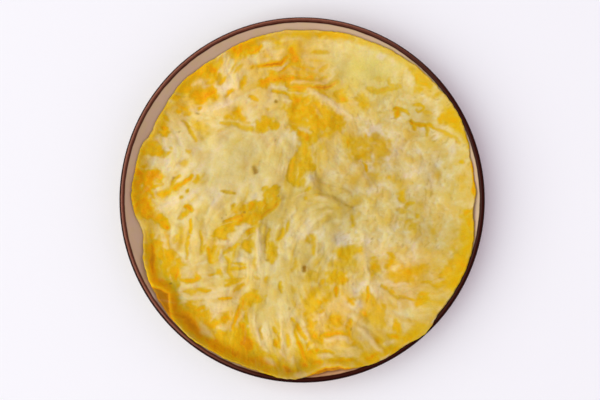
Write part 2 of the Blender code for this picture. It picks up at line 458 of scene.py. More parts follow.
def block_round(line, margin):
    """The block of canvas cells that holds the line, with this much room round it."""
    low = np.floor((line.min(0) - margin + CANVAS_HALF) / CELL).astype(int)
    high = np.ceil((line.max(0) + margin + CANVAS_HALF) / CELL).astype(int)
    low, high = np.clip((low, high), 0, len(across))
    return slice(low[0], high[0]), slice(low[1], high[1])


def away_from(line, block):
    """How far each cell of the block lies from the line, how far along it, 0 to 1, and whether inside."""
    x, y = x_drift[block], y_drift[block]
    nearest = np.full(x.shape, 1e3)
    share = np.zeros(x.shape)
    inside = np.zeros(x.shape, bool)
    lengths = np.hypot(*np.diff(line, axis=0).T)
    done = 0
    for (x0, y0), (x1, y1), length in zip(line, line[1:], lengths):
        along = np.clip(((x - x0) * (x1 - x0) + (y - y0) * (y1 - y0)) / length**2, 0, 1)
        away = np.hypot(x - x0 - along * (x1 - x0), y - y0 - along * (y1 - y0))
        share = np.where(away < nearest, (done + along * length) / lengths.sum(), share)
        nearest = np.minimum(nearest, away)
        if y0 != y1:
            inside ^= ((y0 > y) != (y1 > y)) & (x < x0 + (x1 - x0) * (y - y0) / (y1 - y0))
        done += length
    return nearest, share, inside


def streaked(streaks):
    """How strongly each place lies in one of the streaks, which taper to their ends."""
    cover = np.zeros_like(x_at)
    for half_width, strength, *points in streaks:
        line = rounded(points)
        block = block_round(line, 2 * half_width + 3)
        away, share, _ = away_from(line, block)
        width = half_width * (0.6 + 0.5 * np.sin(math.pi * share))
        fresh = strength * smooth((width - away) / (1.8 * half_width) + 0.5)
        cover[block] = np.maximum(cover[block], fresh)
    return cover


def pooled(pools):
    """How strongly each place lies in one of the pools, whose sides are soft and tattered."""
    cover = np.zeros_like(x_at)
    for strength, softness, *points in pools:
        line = rounded(points, closed=True)
        block = block_round(line, softness + 3)
        away, _, inside = away_from(line, block)
        inward = np.where(inside, away, -away) + tatters[block]
        cover[block] = np.maximum(cover[block], strength * smooth(inward / (1.7 * softness) + 0.45))
    return cover


def raised(folds):
    """How high the folds stand at each place: they sink towards their ends."""
    height_here = np.zeros_like(x_at)
    for half_width, height, *points in folds:
        line = rounded(points)
        block = block_round(line, 3 * half_width)
        away, share, _ = away_from(line, block)
        taper = 0.4 + 0.6 * np.sin(math.pi * share)
        height_here[block] += height * bell(away, 0, half_width) * taper
    return height_here


def patched(patches):
    """A field built up from broad soft patches: the x and y of the middle, the spread and how much."""
    total = np.zeros_like(x_at)
    for x, y, spread, more in patches:
        total += more * patch(x, y, spread)
    return total


# The marbling, stretch by stretch. Pools of yolk: strength, how soft the sides are, and the points
# round the outline. A strength of 0.5 is pale yellow, 1 is full yolk, and 2 is yolk fried brown.
POOLS = (
    # the upper left
    (1.1, 2.5, -80, 75, -79, 78, -74, 80, -66, 81.5, -62, 80.5, -61.5, 76, -62, 73, -72, 70.5,
     -77, 71.5),
    (1.5, 3.0, -73, 74, -72, 79, -68, 80, -63, 79.5, -62.5, 75, -67, 72.5, -71, 73),
    (1.25, 2.5, -69, 97, -64, 97, -60.5, 96, -59, 93, -60, 90, -64, 88.5, -67, 90, -69, 93),
    (1.55, 2.5, -65.5, 96, -61.5, 96, -61, 91, -65, 90),
    (0.8, 3.0, -70, 90, -60, 90, -58, 86, -66, 84, -72, 86),
    (1.1, 2.5, -90, 71, -85, 70, -80, 64, -82, 61.5, -88, 62, -90.5, 66),
    (1.0, 2.5, -56, 61, -50, 63, -47, 67.5, -45, 68, -42, 62, -38, 57, -38, 54, -44, 56, -52, 57.5),
    (0.55, 5.0, -84, 59, -76, 58, -67, 54, -66, 50, -70, 46, -76, 48, -81, 53),
    (1.2, 2.0, -101, 54, -96, 54, -94.5, 50, -97, 47.5, -101, 49),
    (1.15, 3.0, -54, 103, -52, 109, -42, 113, -30, 113, -29, 109, -33, 106, -38, 103.5, -46, 102.5),
    (0.95, 2.5, -112, 33, -104, 32, -95, 32, -95, 35, -98, 37, -101, 41, -106, 43, -112, 42),
    (1.35, 2.0, -114, 24, -110, 22.5, -102, 21.5, -100, 17, -101.5, 13, -107, 8, -110, 4, -115, 2),
    (1.2, 2.0, -119, 4, -118, -8, -115, -12, -107, -16, -103, -19, -99, -20.5, -96.5, -18.5,
     -96, -16, -98, -13, -103, -10, -106, -6, -108, -2, -111, 1, -113, 5),
    # the top
    (1.2, 2.0, -32, 83, -30, 89.5, -24, 91, -17, 91.5, -2, 92.5, 3, 92.5, 1, 90, -5, 88.5, -9, 87.5,
     -9, 84.5, -14, 84, -18, 86, -22, 85, -25, 81, -29, 81.5),
    (1.55, 2.5, -21, 89.5, -12, 90, -9, 86, -14, 85, -17, 86.5, -21, 85.5),
    (0.75, 4.0, -24, 90, -18, 93, -8, 97, 0, 98, 6, 93, 12, 90, 10, 84, -2, 83, -14, 84, -22, 85),
    (1.35, 3.0, -9, 112, -4, 110, -3, 104, -4, 98, -9, 95.5, -10.5, 99, -8.5, 104, -9, 108),
    (1.05, 2.5, 20, 75, 26, 78.5, 30, 80.5, 31.5, 76, 34, 71, 32, 70, 27, 72.5),
    (0.9, 2.0, -34, 54, -31, 58.5, -26, 59.5, -20, 58.5, -17, 55, -18, 51.5, -24, 52, -28, 50,
     -32, 51),
    # the big pool over the middle, and the tongue that runs down from it
    (0.95, 2.5, -8, 75, -5, 77, 0, 77, 5, 74.5, 9, 73, 14, 69.5, 19, 67, 24, 61.5, 29, 58, 30.5, 54,
     27, 50, 22, 47, 17, 44.5, 13, 44.5, 8, 45, 6, 40, 3, 33, -1, 34, 0, 41, -4, 46, -4, 49,
     -7, 51.5, -12, 54, -9, 60, -15, 66, -7, 68.5),
    (0.76, 2.5, -1, 40, 5, 41, 6, 35, 8, 28, 8, 22, 3, 21, 0, 16, 1, 11, -3, 10, -7, 11, -9, 14,
     -9, 20, -7, 28),
    (1.0, 3.0, 12, 61, 18, 67, 21, 60, 26, 57, 28, 52, 22, 50, 17, 56),
    (0.92, 2.5, 0, 49, 6, 47, 12, 47, 12, 44, 6, 42, 4, 38, 0, 39, -2, 45),
    (0.92, 1.8, -27, 8, -24, 9, -21, 9.5, -19, 13, -17, 11.5, -15, 7, -16, 2, -19, 0, -26, 1,
     -27.5, 4),
    # the upper right
    (0.85, 2.5, 97, 57, 99, 60, 103, 64.5, 106, 66, 109, 64, 112, 55, 113, 51, 110, 50, 106, 53,
     101, 58),
    (0.85, 3.0, 79, 90, 84, 85, 92, 80, 94, 82, 87, 89, 79, 96, 75, 96),
    (0.8, 3.0, 40, 78, 45, 76, 47, 71, 49, 67, 44, 65, 41, 70),
    (0.62, 5.0, 30, 44, 36, 47, 48, 50, 62, 47, 64, 40, 62, 29, 56, 25, 50, 28, 44, 25, 36, 27,
     32, 33),
    (0.9, 2.0, 38, 34, 44, 33.5, 47, 32, 46, 29, 40, 28.5),
    (0.45, 5.0, 46, 22, 57, 20, 56, 12, 49, 12),
    (0.42, 6.0, 10, 42, 18, 40, 16, 24, 10, 22),
    # the right and its edge
    (0.8, 2.4, 70, 5, 72.5, 5, 74.5, 3, 74, 0, 71, -1, 69.5, 1),
    (0.6, 3.0, 74, -14, 83, -14, 86, -20, 80, -23, 74, -20),
    (1.0, 1.8, 116, -8, 119, -6, 123, -5, 123, -22, 120, -22, 117, -18, 115, -12),
    (0.76, 2.5, 124, -23, 117, -23, 113, -29, 110, -33, 109, -40, 106, -46, 96, -53, 99, -56,
     92, -60, 98, -63, 106, -63, 113, -60, 120, -44),
    (0.75, 4.0, 61, -53, 70, -49, 76, -46.5, 86, -46.5, 91, -49, 86, -52, 82, -55, 81, -60, 70, -58,
     60, -57),
    (0.85, 4.0, 68, -56, 74, -51, 86, -48, 84, -53, 78, -57),
    (1.05, 2.5, 51, -43, 55, -43, 55.5, -51, 52, -54, 50, -49),
    (0.85, 3.0, 61, -43, 68, -43, 69, -48, 62, -49),
    (1.05, 2.0, 80, -72, 84, -66.5, 89, -66.5, 91.5, -71, 88, -75, 83, -74),
    (0.95, 2.5, 64, -94, 66, -87.5, 70, -87.5, 71.5, -93, 68, -96.5),
    (0.8, 3.5, 22, -34, 30, -34.5, 43, -32, 43, -38, 36, -40, 30, -43, 24, -41),
    (0.6, 5.0, 18, -44, 34, -42, 42, -46, 38, -54, 28, -50, 20, -50),
    (0.9, 2.2, 15, -58, 18, -53, 22, -51, 26, -48.5, 31, -52, 33.5, -56, 30, -60, 26, -61, 20, -60),
    (1.05, 1.8, 33, -72, 36, -70.5, 38.5, -72, 37, -75, 34, -74.5),
    (0.65, 4.0, 0, -70, 6, -64, 12, -61, 20, -63, 24, -70, 18, -76, 12, -80, 8, -86, 2, -87,
     0, -80),
    (0.6, 5.0, 40, -66, 46, -64, 60, -74, 62, -90, 50, -92, 40, -84),
    (0.85, 3.0, 18, -84, 23, -82, 29, -83.5, 30.5, -88, 27, -92, 22, -95, 17, -92, 20, -88),
    (0.5, 4.0, 2, -54, 8, -50, 15, -50, 16, -57, 10, -60, 2, -60),
    # the lower left
    (0.95, 2.0, -67, -26, -62, -21, -56, -17, -50, -13, -44, -9, -42, -2, -38, -3.5, -34, -1,
     -27, 1, -18, 1, -17, -2, -21, -7, -26, -11, -30, -12.5, -33, -17.5, -42, -18, -49, -20,
     -54, -26, -57, -28.5, -63, -27.5),
    (0.85, 2.5, -112, -28, -104, -27, -100, -29, -98, -35, -92, -37, -89, -42, -85, -46, -88, -51,
     -87, -57, -90, -62, -96, -62, -104, -58, -108, -50),
    (0.85, 2.5, -42, -30, -38, -29, -34.5, -29.5, -34, -34, -38, -38, -43, -38),
    (0.8, 2.5, -26, -30, -21, -30, -19, -36, -18, -41, -22, -45, -26, -42),
    (1.05, 2.5, -44, -70, -38, -67, -34, -64.5, -30, -64.5, -27.5, -72, -34, -74, -36, -78,
     -44, -79),
    (1.0, 3.0, -87, -73, -80, -73, -74, -75, -69, -80, -64, -84, -58, -83, -53, -80, -50, -86,
     -58, -88, -66, -93, -73, -90, -80, -84),
    (0.85, 3.0, -68, -92, -56, -94, -50, -90, -46, -88, -40, -90, -38, -97, -32, -106, -24, -110,
     -12, -116, -12, -122, -30, -120, -46, -116, -60, -108, -70, -101),
    (1.5, 4.0, -46, -88, -40, -88, -38, -96, -34, -103, -33, -110, -42, -110, -46, -100),
    (0.9, 4.0, -4, -105, 2, -104, 12, -104, 14, -110, 14, -117, 6, -121, -3, -121),
    (1.2, 3.0, 3, -86, 8, -88, 9, -94, 13, -98, 14, -103, 8, -102, 4, -96),
)

# Streaks of yolk: half the width, strength, and the points they run through.
STREAKS = (
    # the upper left
    (2.0, 0.95, -104, 4, -99, 4.5, -95, 7.5), (1.7, 1.15, -97, 6.5, -91, 9, -86, 12),
    (1.3, 1.4, -88, 11, -82, 15, -79, 17.5), (1.1, 0.8, -95, 9, -93, 13, -92, 16, -89, 17.5),
    (1.3, 0.9, -77.5, 14, -75, 14.5, -75, 17), (1.4, 0.5, -88, 25, -84, 27, -82, 28),
    (1.5, 0.65, -83, 36.5, -81.5, 34.5), (1.4, 0.95, -87.5, 1, -86.5, 2),
    (1.0, 0.9, -83.5, 6, -82.5, 7.5), (1.3, 1.6, -84, -5.5, -81, -6, -79, -6.5),
    (1.6, 0.95, -83, -8, -86, -11, -88, -13),
    (1.0, 0.9, -87, 57, -84, 54, -81, 50, -78, 46, -76, 43), (1.2, 0.9, -75, 65.5, -73, 67.5),
    (1.2, 0.95, -61, 84, -58, 85, -56, 87.5), (1.4, 0.6, -60, 97, -57, 103),
    (1.4, 0.5, -66, 97, -61, 102), (1.2, 0.95, -56, 74.5, -53, 78, -50.5, 79),
    (1.2, 0.6, -49, 93, -44, 97), (1.5, 1.0, -44, 81, -43, 85, -41.5, 89),
    (1.2, 0.8, -98, 60, -95, 58), (1.2, 0.8, -95, 38, -94, 37.5),
    (1.0, 1.3, -96.5, 33.5, -95.5, 32.5),
    (1.2, 0.7, -59, 55, -52, 55, -45, 52, -38, 51, -30, 50, -24, 51),
    # the top
    (1.1, 1.5, -31, 96, -25, 97.5, -20, 97, -15, 99, -12, 101, -10, 104),
    (1.3, 1.3, -8, 98, -13, 94.5, -16, 91.5), (0.8, 1.2, -9, 97.5, -3, 97, 1, 96.5, 6, 95),
    (1.5, 1.3, -12, 83.5, -5, 82.5, 2, 81.8, 8, 81),
    (1.5, 1.65, 5, 81.5, 10, 81, 15, 81, 20, 82, 25.5, 84.8),
    (1.5, 1.0, -9, 80, 0, 79.8, 8, 79.5, 14, 77, 19, 74.5),
    (1.0, 1.0, -21, 79, -15, 77.5, -10, 76.5, -7, 73), (1.2, 0.9, -4, 102, 0, 92, 3, 92.5),
    (1.0, 1.4, 2, 88, 7, 88.5, 8, 86.5), (0.9, 0.7, 12, 87.5, 18, 88.5),
    (1.4, 0.9, 13, 93, 15, 95, 18, 96.5), (0.9, 0.8, 3, 94, 9, 95), (1.0, 0.6, 7, 106, 19, 106),
    (1.3, 0.8, -22, 115, -15, 113),
    (1.2, 0.9, -14, 118, -4, 119, 9, 119, 20, 118, 30, 116, 37, 114),
    (0.9, 1.2, -38.5, 74.5, -35, 74, -31.5, 72.5), (1.2, 0.8, -36, 96, -35, 96),
    (1.2, 0.7, -41, 90, -40, 90), (1.2, 0.6, -25.5, 66, -24.5, 66), (1.2, 0.6, 38, 74, 42, 71),
    (1.2, 1.4, -30, 110, -34, 106, -42, 106),
    (1.2, 0.85, 0, 38, -4, 32, -7, 27, -8.5, 22, -8.5, 16, -7, 12), (0.9, 0.7, -5, 30, -5, 22),
    (1.2, 0.8, -5, 12, 0, 11), (1.1, 0.9, 2, 7, 6, 9), (1.2, 0.85, 2, 2, 3, 1),
    (1.6, 0.6, 4, 32, 6, 24),
    # the upper right
    (1.4, 0.75, 42, 113, 50, 112, 58, 108, 64, 105, 70, 102, 75, 97),
    (1.5, 1.1, 80, 89, 84, 84, 91, 81), (1.6, 0.9, 81, 78, 86, 78), (1.6, 0.5, 94, 74, 100, 76),
    (1.4, 1.1, 47, 79.5, 53, 78.2, 59, 78.5, 64, 80, 70, 82),
    (1.1, 0.9, 62.5, 86.5, 64, 83, 66, 81), (1.2, 0.4, 52, 87, 58, 87),
    (1.1, 1.15, 66, 65, 70, 66, 73, 65, 76, 62), (1.4, 1.2, 68, 61, 69, 64.5),
    (0.8, 0.95, 79, 69, 82, 68, 86, 68, 87, 66, 86, 64, 82, 64, 81, 66),
    (1.4, 0.45, 87, 63, 92, 62), (1.1, 1.15, 77, 57, 80, 55, 86, 55, 92, 54, 95, 51.5),
    (1.3, 1.5, 77, 56, 79.5, 54), (1.2, 1.1, 79, 55, 81, 51),
    (1.0, 0.6, 95, 51.5, 104, 48, 112, 41), (1.1, 0.85, 90, 54, 91, 51, 90, 47),
    (1.3, 1.35, 98, 58, 99, 60), (1.6, 1.0, 112, 52, 116, 44, 118, 38),
    (1.2, 0.9, 32, 43, 34, 40, 34, 36), (0.9, 1.0, 44, 27, 46.5, 25, 46, 21),
    (1.2, 0.5, 62, 16, 63, 17), (1.4, 0.7, 46, 47, 47, 42),
    # the right and its edge
    (1.4, 0.7, 80, -2, 76, -3, 74, -5), (1.8, 0.55, 73, -8, 69, -7),
    (1.0, 1.2, 76.5, -17.5, 78, -18), (1.6, 0.6, 35, -12, 37, -15, 36, -19),
    (2.2, 0.4, 92, -20, 94, -24), (1.2, 0.85, 113, 28, 115, 27),
    (0.9, 1.5, 119.5, 42, 121, 30, 122.2, 15, 122.5, 2), (1.2, 0.8, 82, -10, 83, -12),
    (1.4, 0.8, 62, -39, 68, -42), (1.2, 1.1, 86, -59, 92, -60, 97, -62.5),
    (1.1, 0.95, 58, -62, 62, -64, 66, -68, 71, -69, 76, -70, 80, -71),
    (1.2, 1.0, 65, -65, 67, -68), (1.4, 1.1, 48, -64, 47, -70, 46, -74),
    (1.8, 1.15, 44, -79, 46, -84), (1.4, 0.8, 50, -72, 52, -77), (1.4, 0.75, 57, -74, 60, -78),
    (1.2, 1.15, 61, -97, 66, -98, 73, -98), (1.4, 1.15, 53, -99, 56, -101),
    (1.3, 1.3, 42, -115, 48, -112, 56, -108),
    # the bottom
    (1.5, 1.05, 11.5, -61.5, 15, -59), (1.5, 1.4, 24.5, -63, 25, -68),
    (1.8, 1.15, 12, -71.5, 14, -74, 18, -72), (1.3, 0.9, 11, -81, 15, -79.5),
    (1.6, 1.2, 35, -88, 33, -93, 34, -97), (1.5, 1.15, -4.5, -90, -1, -94, 2, -98.5),
    (1.3, 1.15, -5, -98, -3, -103, 0, -108, 2, -113), (1.3, 0.95, 5, -102, 4, -105.5),
    (1.5, 1.2, 13, -98, 20, -97, 28, -96.5, 33, -98, 38, -102, 43, -106),
    (0.7, 1.1, 12, -108, 18, -108, 24, -108.5), (1.2, 1.5, 10, -107.5, 12.5, -107),
    (1.3, 1.25, 20, -115, 30, -115, 42, -113.5), (3.0, 1.6, -14, -119, -8, -122),
    (2.2, 1.6, -1, -119, 4, -118), (1.6, 1.4, 8, -117, 15, -116), (1.6, 1.4, 0, -107, 1, -113),
    (1.8, 0.5, 3, -26, 6, -32), (1.7, 0.65, 6, -25, 9, -27, 8, -33, 7.5, -38),
    (1.3, 0.55, -4, -42, -5, -48, -8, -50), (1.2, 0.9, -41, -82, -39, -89),
    (1.3, 0.6, -34, -55, -32, -57), (1.3, 0.6, -27, -57, -23, -57),
    (1.5, 0.95, -15, -60, -15.5, -65), (1.8, 0.45, -7, -64, -5, -66),
    (1.0, 0.55, -29, -91, -29, -100), (1.2, 0.95, -21, -92, -19, -95),
    (1.4, 1.2, -20, -101, -18, -104.5), (0.8, 0.8, -17, -95, -16, -106),
    (1.1, 0.65, -11, -98, -10, -106), (1.1, 1.15, -7.5, -86, -6.5, -88),
    (1.0, 0.7, -5, -91, -5, -98),
    # the lower left
    (1.0, 1.2, -80, -14, -79.5, -19, -80, -24), (0.9, 0.75, -81, -26, -82.5, -34, -83.5, -42),
    (3.2, 0.5, -88, -21, -87, -27, -88, -34), (1.8, 0.6, -93, -29, -89, -25),
    (0.8, 0.8, -73, -22, -72.5, -29, -71.5, -38),
    (1.1, 1.45, -55.5, -14.5, -50, -12.5, -46, -11, -41, -9.5),
    (1.2, 1.45, -16, -1, -21, -6, -25, -10, -30, -12.5), (1.1, 1.3, -53, -27, -57, -28),
    (1.5, 0.95, -63, -29, -63, -36, -64, -41), (1.4, 1.25, -67, -35, -65, -44),
    (1.0, 0.75, -69, -33, -72, -39), (1.0, 1.1, -108, -21, -106.5, -28),
    (2.2, 1.5, -107.5, -31, -107, -43, -106, -51), (1.0, 0.7, -58, 6, -55, 5.5, -51, 6, -48.5, 6),
    (1.2, 0.8, -49, -4, -51, -7), (1.3, 1.0, -40, -23, -35, -20.5, -32, -18),
    (1.3, 0.9, -38, -27, -35, -21), (1.2, 0.9, -55, -38, -50, -34, -46, -32),
    (1.2, 0.95, -54, -41, -52, -47, -52, -52, -50, -56),
    (0.8, 0.85, -50, -46, -45, -46, -41, -45.5), (1.1, 0.95, -51, -51, -46, -49, -41, -48),
    (0.7, 0.7, -56, -58, -50, -57.5, -43, -56.5), (1.2, 1.0, -55, -62, -50, -60, -45, -58.5),
    (1.1, 1.05, -49, -65, -46, -63.5, -42, -61.5), (1.1, 0.9, -75, -65.5, -66, -64.5),
    (1.3, 0.6, -85, -66, -77, -67), (0.8, 1.35, -60, -71, -56, -71.3, -51.5, -71),
    (0.9, 1.25, -67, -54, -62, -52.5, -58.5, -50.5), (1.1, 0.8, -60, -50, -58, -55),
    (1.6, 1.0, -76, -53, -75, -58), (1.2, 0.95, -88, -58, -80, -58.5, -73, -56.5),
    (1.3, 0.8, -89, -48, -84, -47), (1.4, 1.45, -91, -58, -89, -51),
    (1.5, 1.3, -44, -71, -42.5, -77), (1.5, 1.25, -45, -75, -46, -82, -48.5, -88, -50, -93),
    (1.6, 1.3, -76, -79, -71, -78), (1.2, 1.3, -58, -84, -54, -84),
    # these wide bands along the curled lower-left edge are painted shade: deep orange yolk where the
    # sheet climbs the wall away from the window
    (4.5, 1.35, -104, -56, -99, -61, -95, -62),
    (4.0, 1.4, -97, -64, -94.5, -71, -91, -78, -86, -84),
    (5.5, 1.45, -87, -81, -80, -87, -75, -93, -70, -98),
    (5.0, 1.3, -68, -100, -60, -105, -50, -109, -42, -112.5),
    (4.5, 1.25, -42, -113, -32, -115, -20, -118), (1.0, 0.8, -24, -21, -25, -27, -26, -35),
    (1.3, 0.9, -15, -22, -14, -26, -17, -29), (1.2, 0.6, -9, -13, -12, -24),
)

# White: pale set strands, in the same terms.
WHITES = (
    (2.4, 0.5, -56, 104, -54, 95, -52, 88), (1.2, 0.7, -80, 82.5, -72, 85, -67, 87),
    (1.6, 0.6, -62, 84, -56, 78, -58, 70), (3.4, 0.6, -110, 30, -103, 27, -97, 24),
    (4.2, 0.6, -104, -6, -97, -4, -90, 1), (1.6, 0.5, -92, 22, -84, 22),
    (2.0, 0.4, -77, 0, -76.5, -20, -76, -42), (1.4, 0.5, -68, -12, -70, -20),
    (2.6, 0.5, -92, 45, -86, 50, -89, 57), (3.0, 0.6, -26, 107, -18, 104, -13, 107),
    (1.1, 0.7, -23, 94, -17, 93, -13, 97), (1.2, 0.5, -12, 92.5, -5, 94.5, 0, 95.3),
    (1.6, 0.7, -8, 86, -3, 86.5, 4, 85.2),
    (1.3, 0.65, 4, 85, 12, 84.3, 19, 85.5, 22.5, 89, 21, 93, 25, 96),
    (0.9, 0.6, -22, 81.5, -15, 82, -10, 80.5),
    (2.3, 1.0, 4, 80, 10, 76, 17, 72, 24, 68.5, 30, 63.5, 37, 58),
    (1.6, 0.9, -2, 52, 2, 50.3, 6, 48.5), (1.8, 0.7, -13, 71, -8.5, 70.5),
    (2.0, 0.5, -40, 72, -36, 62, -37, 55), (1.6, 0.5, -48, 92, -47, 80),
    (3.0, 0.45, 1, 110, 4, 110), (2.4, 0.4, 1, 100, 6, 103), (2.4, 0.45, 12, 111, 14, 110),
    (1.6, 0.55, 10, 66, 14, 60), (1.2, 0.45, 2, 68, 7, 71), (2.0, 0.8, 54, 103, 60, 103),
    (1.8, 0.6, 62, 100, 66, 98), (2.6, 0.45, 26, 108, 34, 105), (2.4, 0.6, 74, 92, 78, 83),
    (2.0, 0.5, 60, 72, 64, 66), (2.2, 0.5, 74, 75, 80, 72), (1.6, 0.4, 95, 66, 90, 72),
    (2.2, 0.8, 107, 42, 108, 36, 107, 30), (1.4, 0.5, 112, 24, 112, 19),
    (1.5, 0.6, 72, 22, 73, 17), (1.6, 0.5, 72, 44, 72, 30),
    (2.2, 0.45, 24, 36, 25, 26, 22, 18, 24, 6), (1.7, 1.0, 3, 12, 5, 16, 7.5, 17.5),
    (2.0, 0.8, 10, 1, 17, 0), (0.9, 0.7, 3, -1.5, 9, -3),
    (2.2, 0.65, 22, -8, 16, -9, 11, -13, 6, -18, 2, -22, -3, -27, -8, -31, -13, -34),
    (1.4, 0.7, -6, -4, -7, -10, -12, -16), (1.3, 0.9, -12, -15.5, -11, -14.5),
    (2.2, 0.7, -19, -20, -17.5, -19), (1.4, 0.6, -30.5, -14, -31.5, -15),
    (2.0, 0.9, -32.5, -19, -31.5, -30, -31, -44),
    (2.4, 0.9, -62, -31, -52, -30, -48, -25, -43, -21, -38, -18.5),
    (1.4, 0.8, -57, -36, -58, -45, -56, -52), (3.0, 0.5, -36, -48, -34, -58),
    (1.5, 0.6, -48, -43, -42, -42), (1.1, 0.6, 10.5, -27, 10, -41),
    (1.1, 0.5, 13, -23, 15, -31, 14, -40), (2.4, 0.6, 44, -12, 43, -24, 46, -34),
    (2.2, 0.6, 46, -36, 47, -48, 48, -60), (1.8, 0.5, 52, -66, 56, -74),
    (2.0, 0.6, 89, -4, 91, -11), (1.0, 0.4, 87, -15, 88, -27), (1.6, 0.4, 55, -6, 54, -13),
    (1.6, 0.5, 67, -8, 66, -16), (1.6, 0.75, 70, -73, 71, -79), (1.6, 0.75, 77.5, -73, 79.5, -79),
    (1.6, 0.5, 76, -66, 79, -68), (1.2, 0.4, 74, -80, 84, -79, 92, -78),
    (1.2, 0.4, 72, -85, 84, -83, 92, -81), (1.4, 0.5, 61, -79, 60, -87),
    (1.2, 0.8, 93, -60.5, 98, -58.5, 101, -57), (1.3, 0.6, 92, -52, 94, -56),
    (1.5, 0.8, 59, -103, 64, -101), (1.2, 0.6, 57, -59.5, 66, -60.5, 76, -61),
    (2.2, 0.85, 41, -92, 47, -98, 52, -104, 56, -107.5),
    (1.7, 0.85, 16, -101, 24, -99.8, 32, -99.3, 37, -101.5), (2.0, 0.7, 13, -112, 21, -111.5),
    (1.3, 0.55, 28, -106, 40, -106), (1.3, 0.6, 28, -112, 37, -111),
    (1.3, 0.8, 0, -87, 2, -93, 5, -99), (1.4, 0.7, 12, -87, 15, -82), (1.2, 0.6, 30, -51, 31, -52),
    (1.2, 0.6, 5, -107, 9, -103), (2.4, 0.6, 30, -71, 31, -77, 38, -77),
    (1.6, 0.75, -35, -83, -33.5, -92, -31, -100, -26, -108), (1.8, 0.85, -26, -88, -26, -99),
    (1.4, 0.65, -15, -88, -15, -100, -14, -108), (1.3, 0.6, -8, -91, -8, -104),
    (1.3, 0.7, -16, -108, -11, -113), (1.6, 0.45, -76, -84, -72, -89, -67, -95, -63, -99),
    (1.1, 0.8, -66, -86, -62, -82, -59, -79), (1.0, 0.6, -52.5, -80, -51, -85),
    (1.7, 0.6, -60, -92, -53, -92), (1.6, 0.6, -25, -114, -21, -117),
    (2.0, 0.6, -6, -112, -8, -118), (1.6, 0.7, -6, -123.5, 3, -125),
    (2.4, 0.5, -80, -52, -84, -52), (1.8, 0.5, -84, -62, -74, -62),
    (1.8, 0.5, -80, -70, -66, -70, -54, -68), (1.8, 0.5, -64, -76, -54, -76),
    (0.9, 0.7, -95, -53, -94.5, -58), (1.2, 0.5, -99, -33, -96, -35),
    (2.0, 0.45, -97, -24, -92, -20), (1.2, 0.5, -69, -25, -65, -28),
    (0.6, 0.7, -60, -19, -53, -16, -46, -15), (0.7, 0.6, -42, -28, -37, -26, -34, -23.5),
    (0.6, 0.6, -29, -9, -26, -3), (0.6, 0.6, -4, 3, 2, 5.5), (1.3, 0.5, -6, 8, -2, 8),
    (0.6, 0.6, -3, 24, -3, 15), (1.2, 0.5, -110, 3, -110, 0), (2.2, 0.8, 38, -73, 42, -76),
    (0.7, 0.9, 55.5, -113.5, 63, -109.4), (0.7, 0.7, 69.6, -105, 76, -100.8),
    (0.9, 1.0, 91.5, -87, 96, -81.5),
)

# Grooves, olive and brown, partly the egg's own colour and partly painted shade along creases and the
# shaded sides of folds: in the same terms.
SHADED_GROOVES = (
    (1.5, 0.9, 9, 21, 11, 17.5, 13, 13, 14, 8),
    (1.0, 0.7, 11, 5, 18, 4, 23, 2.5, 27, -0.5, 31, -4, 37, -6),
    (0.8, 0.7, 13, -5.5, 18, -5.5, 23, -6.5), (1.2, 0.45, -16, 0, -8, 3, -3, 5.5, 1, 8),
    (0.8, 0.45, 18, -18, 18, -28), (0.8, 0.4, 16, -34, 15, -42),
    (0.9, 0.8, -26, -22, -26, -30, -27, -36, -27, -42), (0.8, 0.7, -8.8, 25, -9.2, 19, -8.2, 13),
    (0.6, 0.5, -26, 7, -22, 6, -18, 7), (0.6, 0.5, -24, 2.5, -19, 5),
    (0.6, 0.4, -29, 37, -26, 33, -27.5, 29), (0.7, 0.5, -87, 57, -82, 51, -77, 44),
    (0.6, 0.5, -93, 12, -93.5, 16, -90, 17), (0.7, 0.5, -57, 5.8, -49, 6),
    (0.6, 0.5, -73, -24, -72, -36), (0.6, 0.4, -82, -28, -83.5, -40),
    (0.6, 0.5, -54, -42, -52.5, -50), (0.8, 0.5, -17, -2, -22, -8, -28, -12),
    (0.6, 0.4, -55, -14, -42, -10), (0.8, 0.6, 42, -103, 45, -109),
    (0.6, 0.6, 41, -90, 50, -95, 57, -101), (0.6, 0.6, 47, -100, 51.5, -106),
    (0.6, 0.6, 36, -93, 38, -98, 41, -101), (0.6, 0.5, 12, -108.3, 24, -109),
    (0.7, 0.5, 58, -62, 66, -68, 78, -70.5), (0.5, 0.5, 12, 87.2, 18, 88),
    (0.6, 0.4, 48, 79, 60, 78), (0.6, 0.5, 77, 56.5, 86, 54.5), (0.5, 0.5, 66, 65, 73, 66),
    (0.6, 0.5, 90, 54, 90.5, 47), (0.6, 0.5, 110, -24, 110, -28),
    (0.8, 0.8, -107.5, -61.5, -105, -64, -101, -65, -99, -67, -98.6, -73),
    (0.6, 0.5, -58, 53.5, -45, 51.5), (0.6, 0.4, 1, -100, 5, -103), (0.7, 0.35, -3, -43, -3, -51),
    (0.5, 0.5, 5, 97, 12, 95),
)

# Grey film, where the white set thin: in the same terms.
FILMS = (
    (4.5, 0.7, 24, -27, 30, -28), (2.6, 0.6, 6, 16, 8, 15), (4.5, 0.4, 89, 26, 91, 16),
    (2.4, 0.5, 65, 35, 68, 33), (2.2, 0.5, 107, 40, 108, 35), (2.6, 0.5, 55, 103, 59, 103),
    (2.0, 0.35, -8, -24, -6, -26), (2.4, 0.4, 37, -60, 38, -67), (3.0, 0.4, 40, -74, 43, -78),
    (1.8, 0.3, -71, -90, -66, -97), (3.0, 0.35, 5, -12, 4, -20), (2.0, 0.4, 42, -98, 44, -100),
    (2.0, 0.4, -26, -114, -21, -117), (2.4, 0.3, 78, 9, 80, 7), (1.6, 0.4, -35, 3, -33, 2),
    (1.8, 0.3, -65, -3, -62, -4),
)

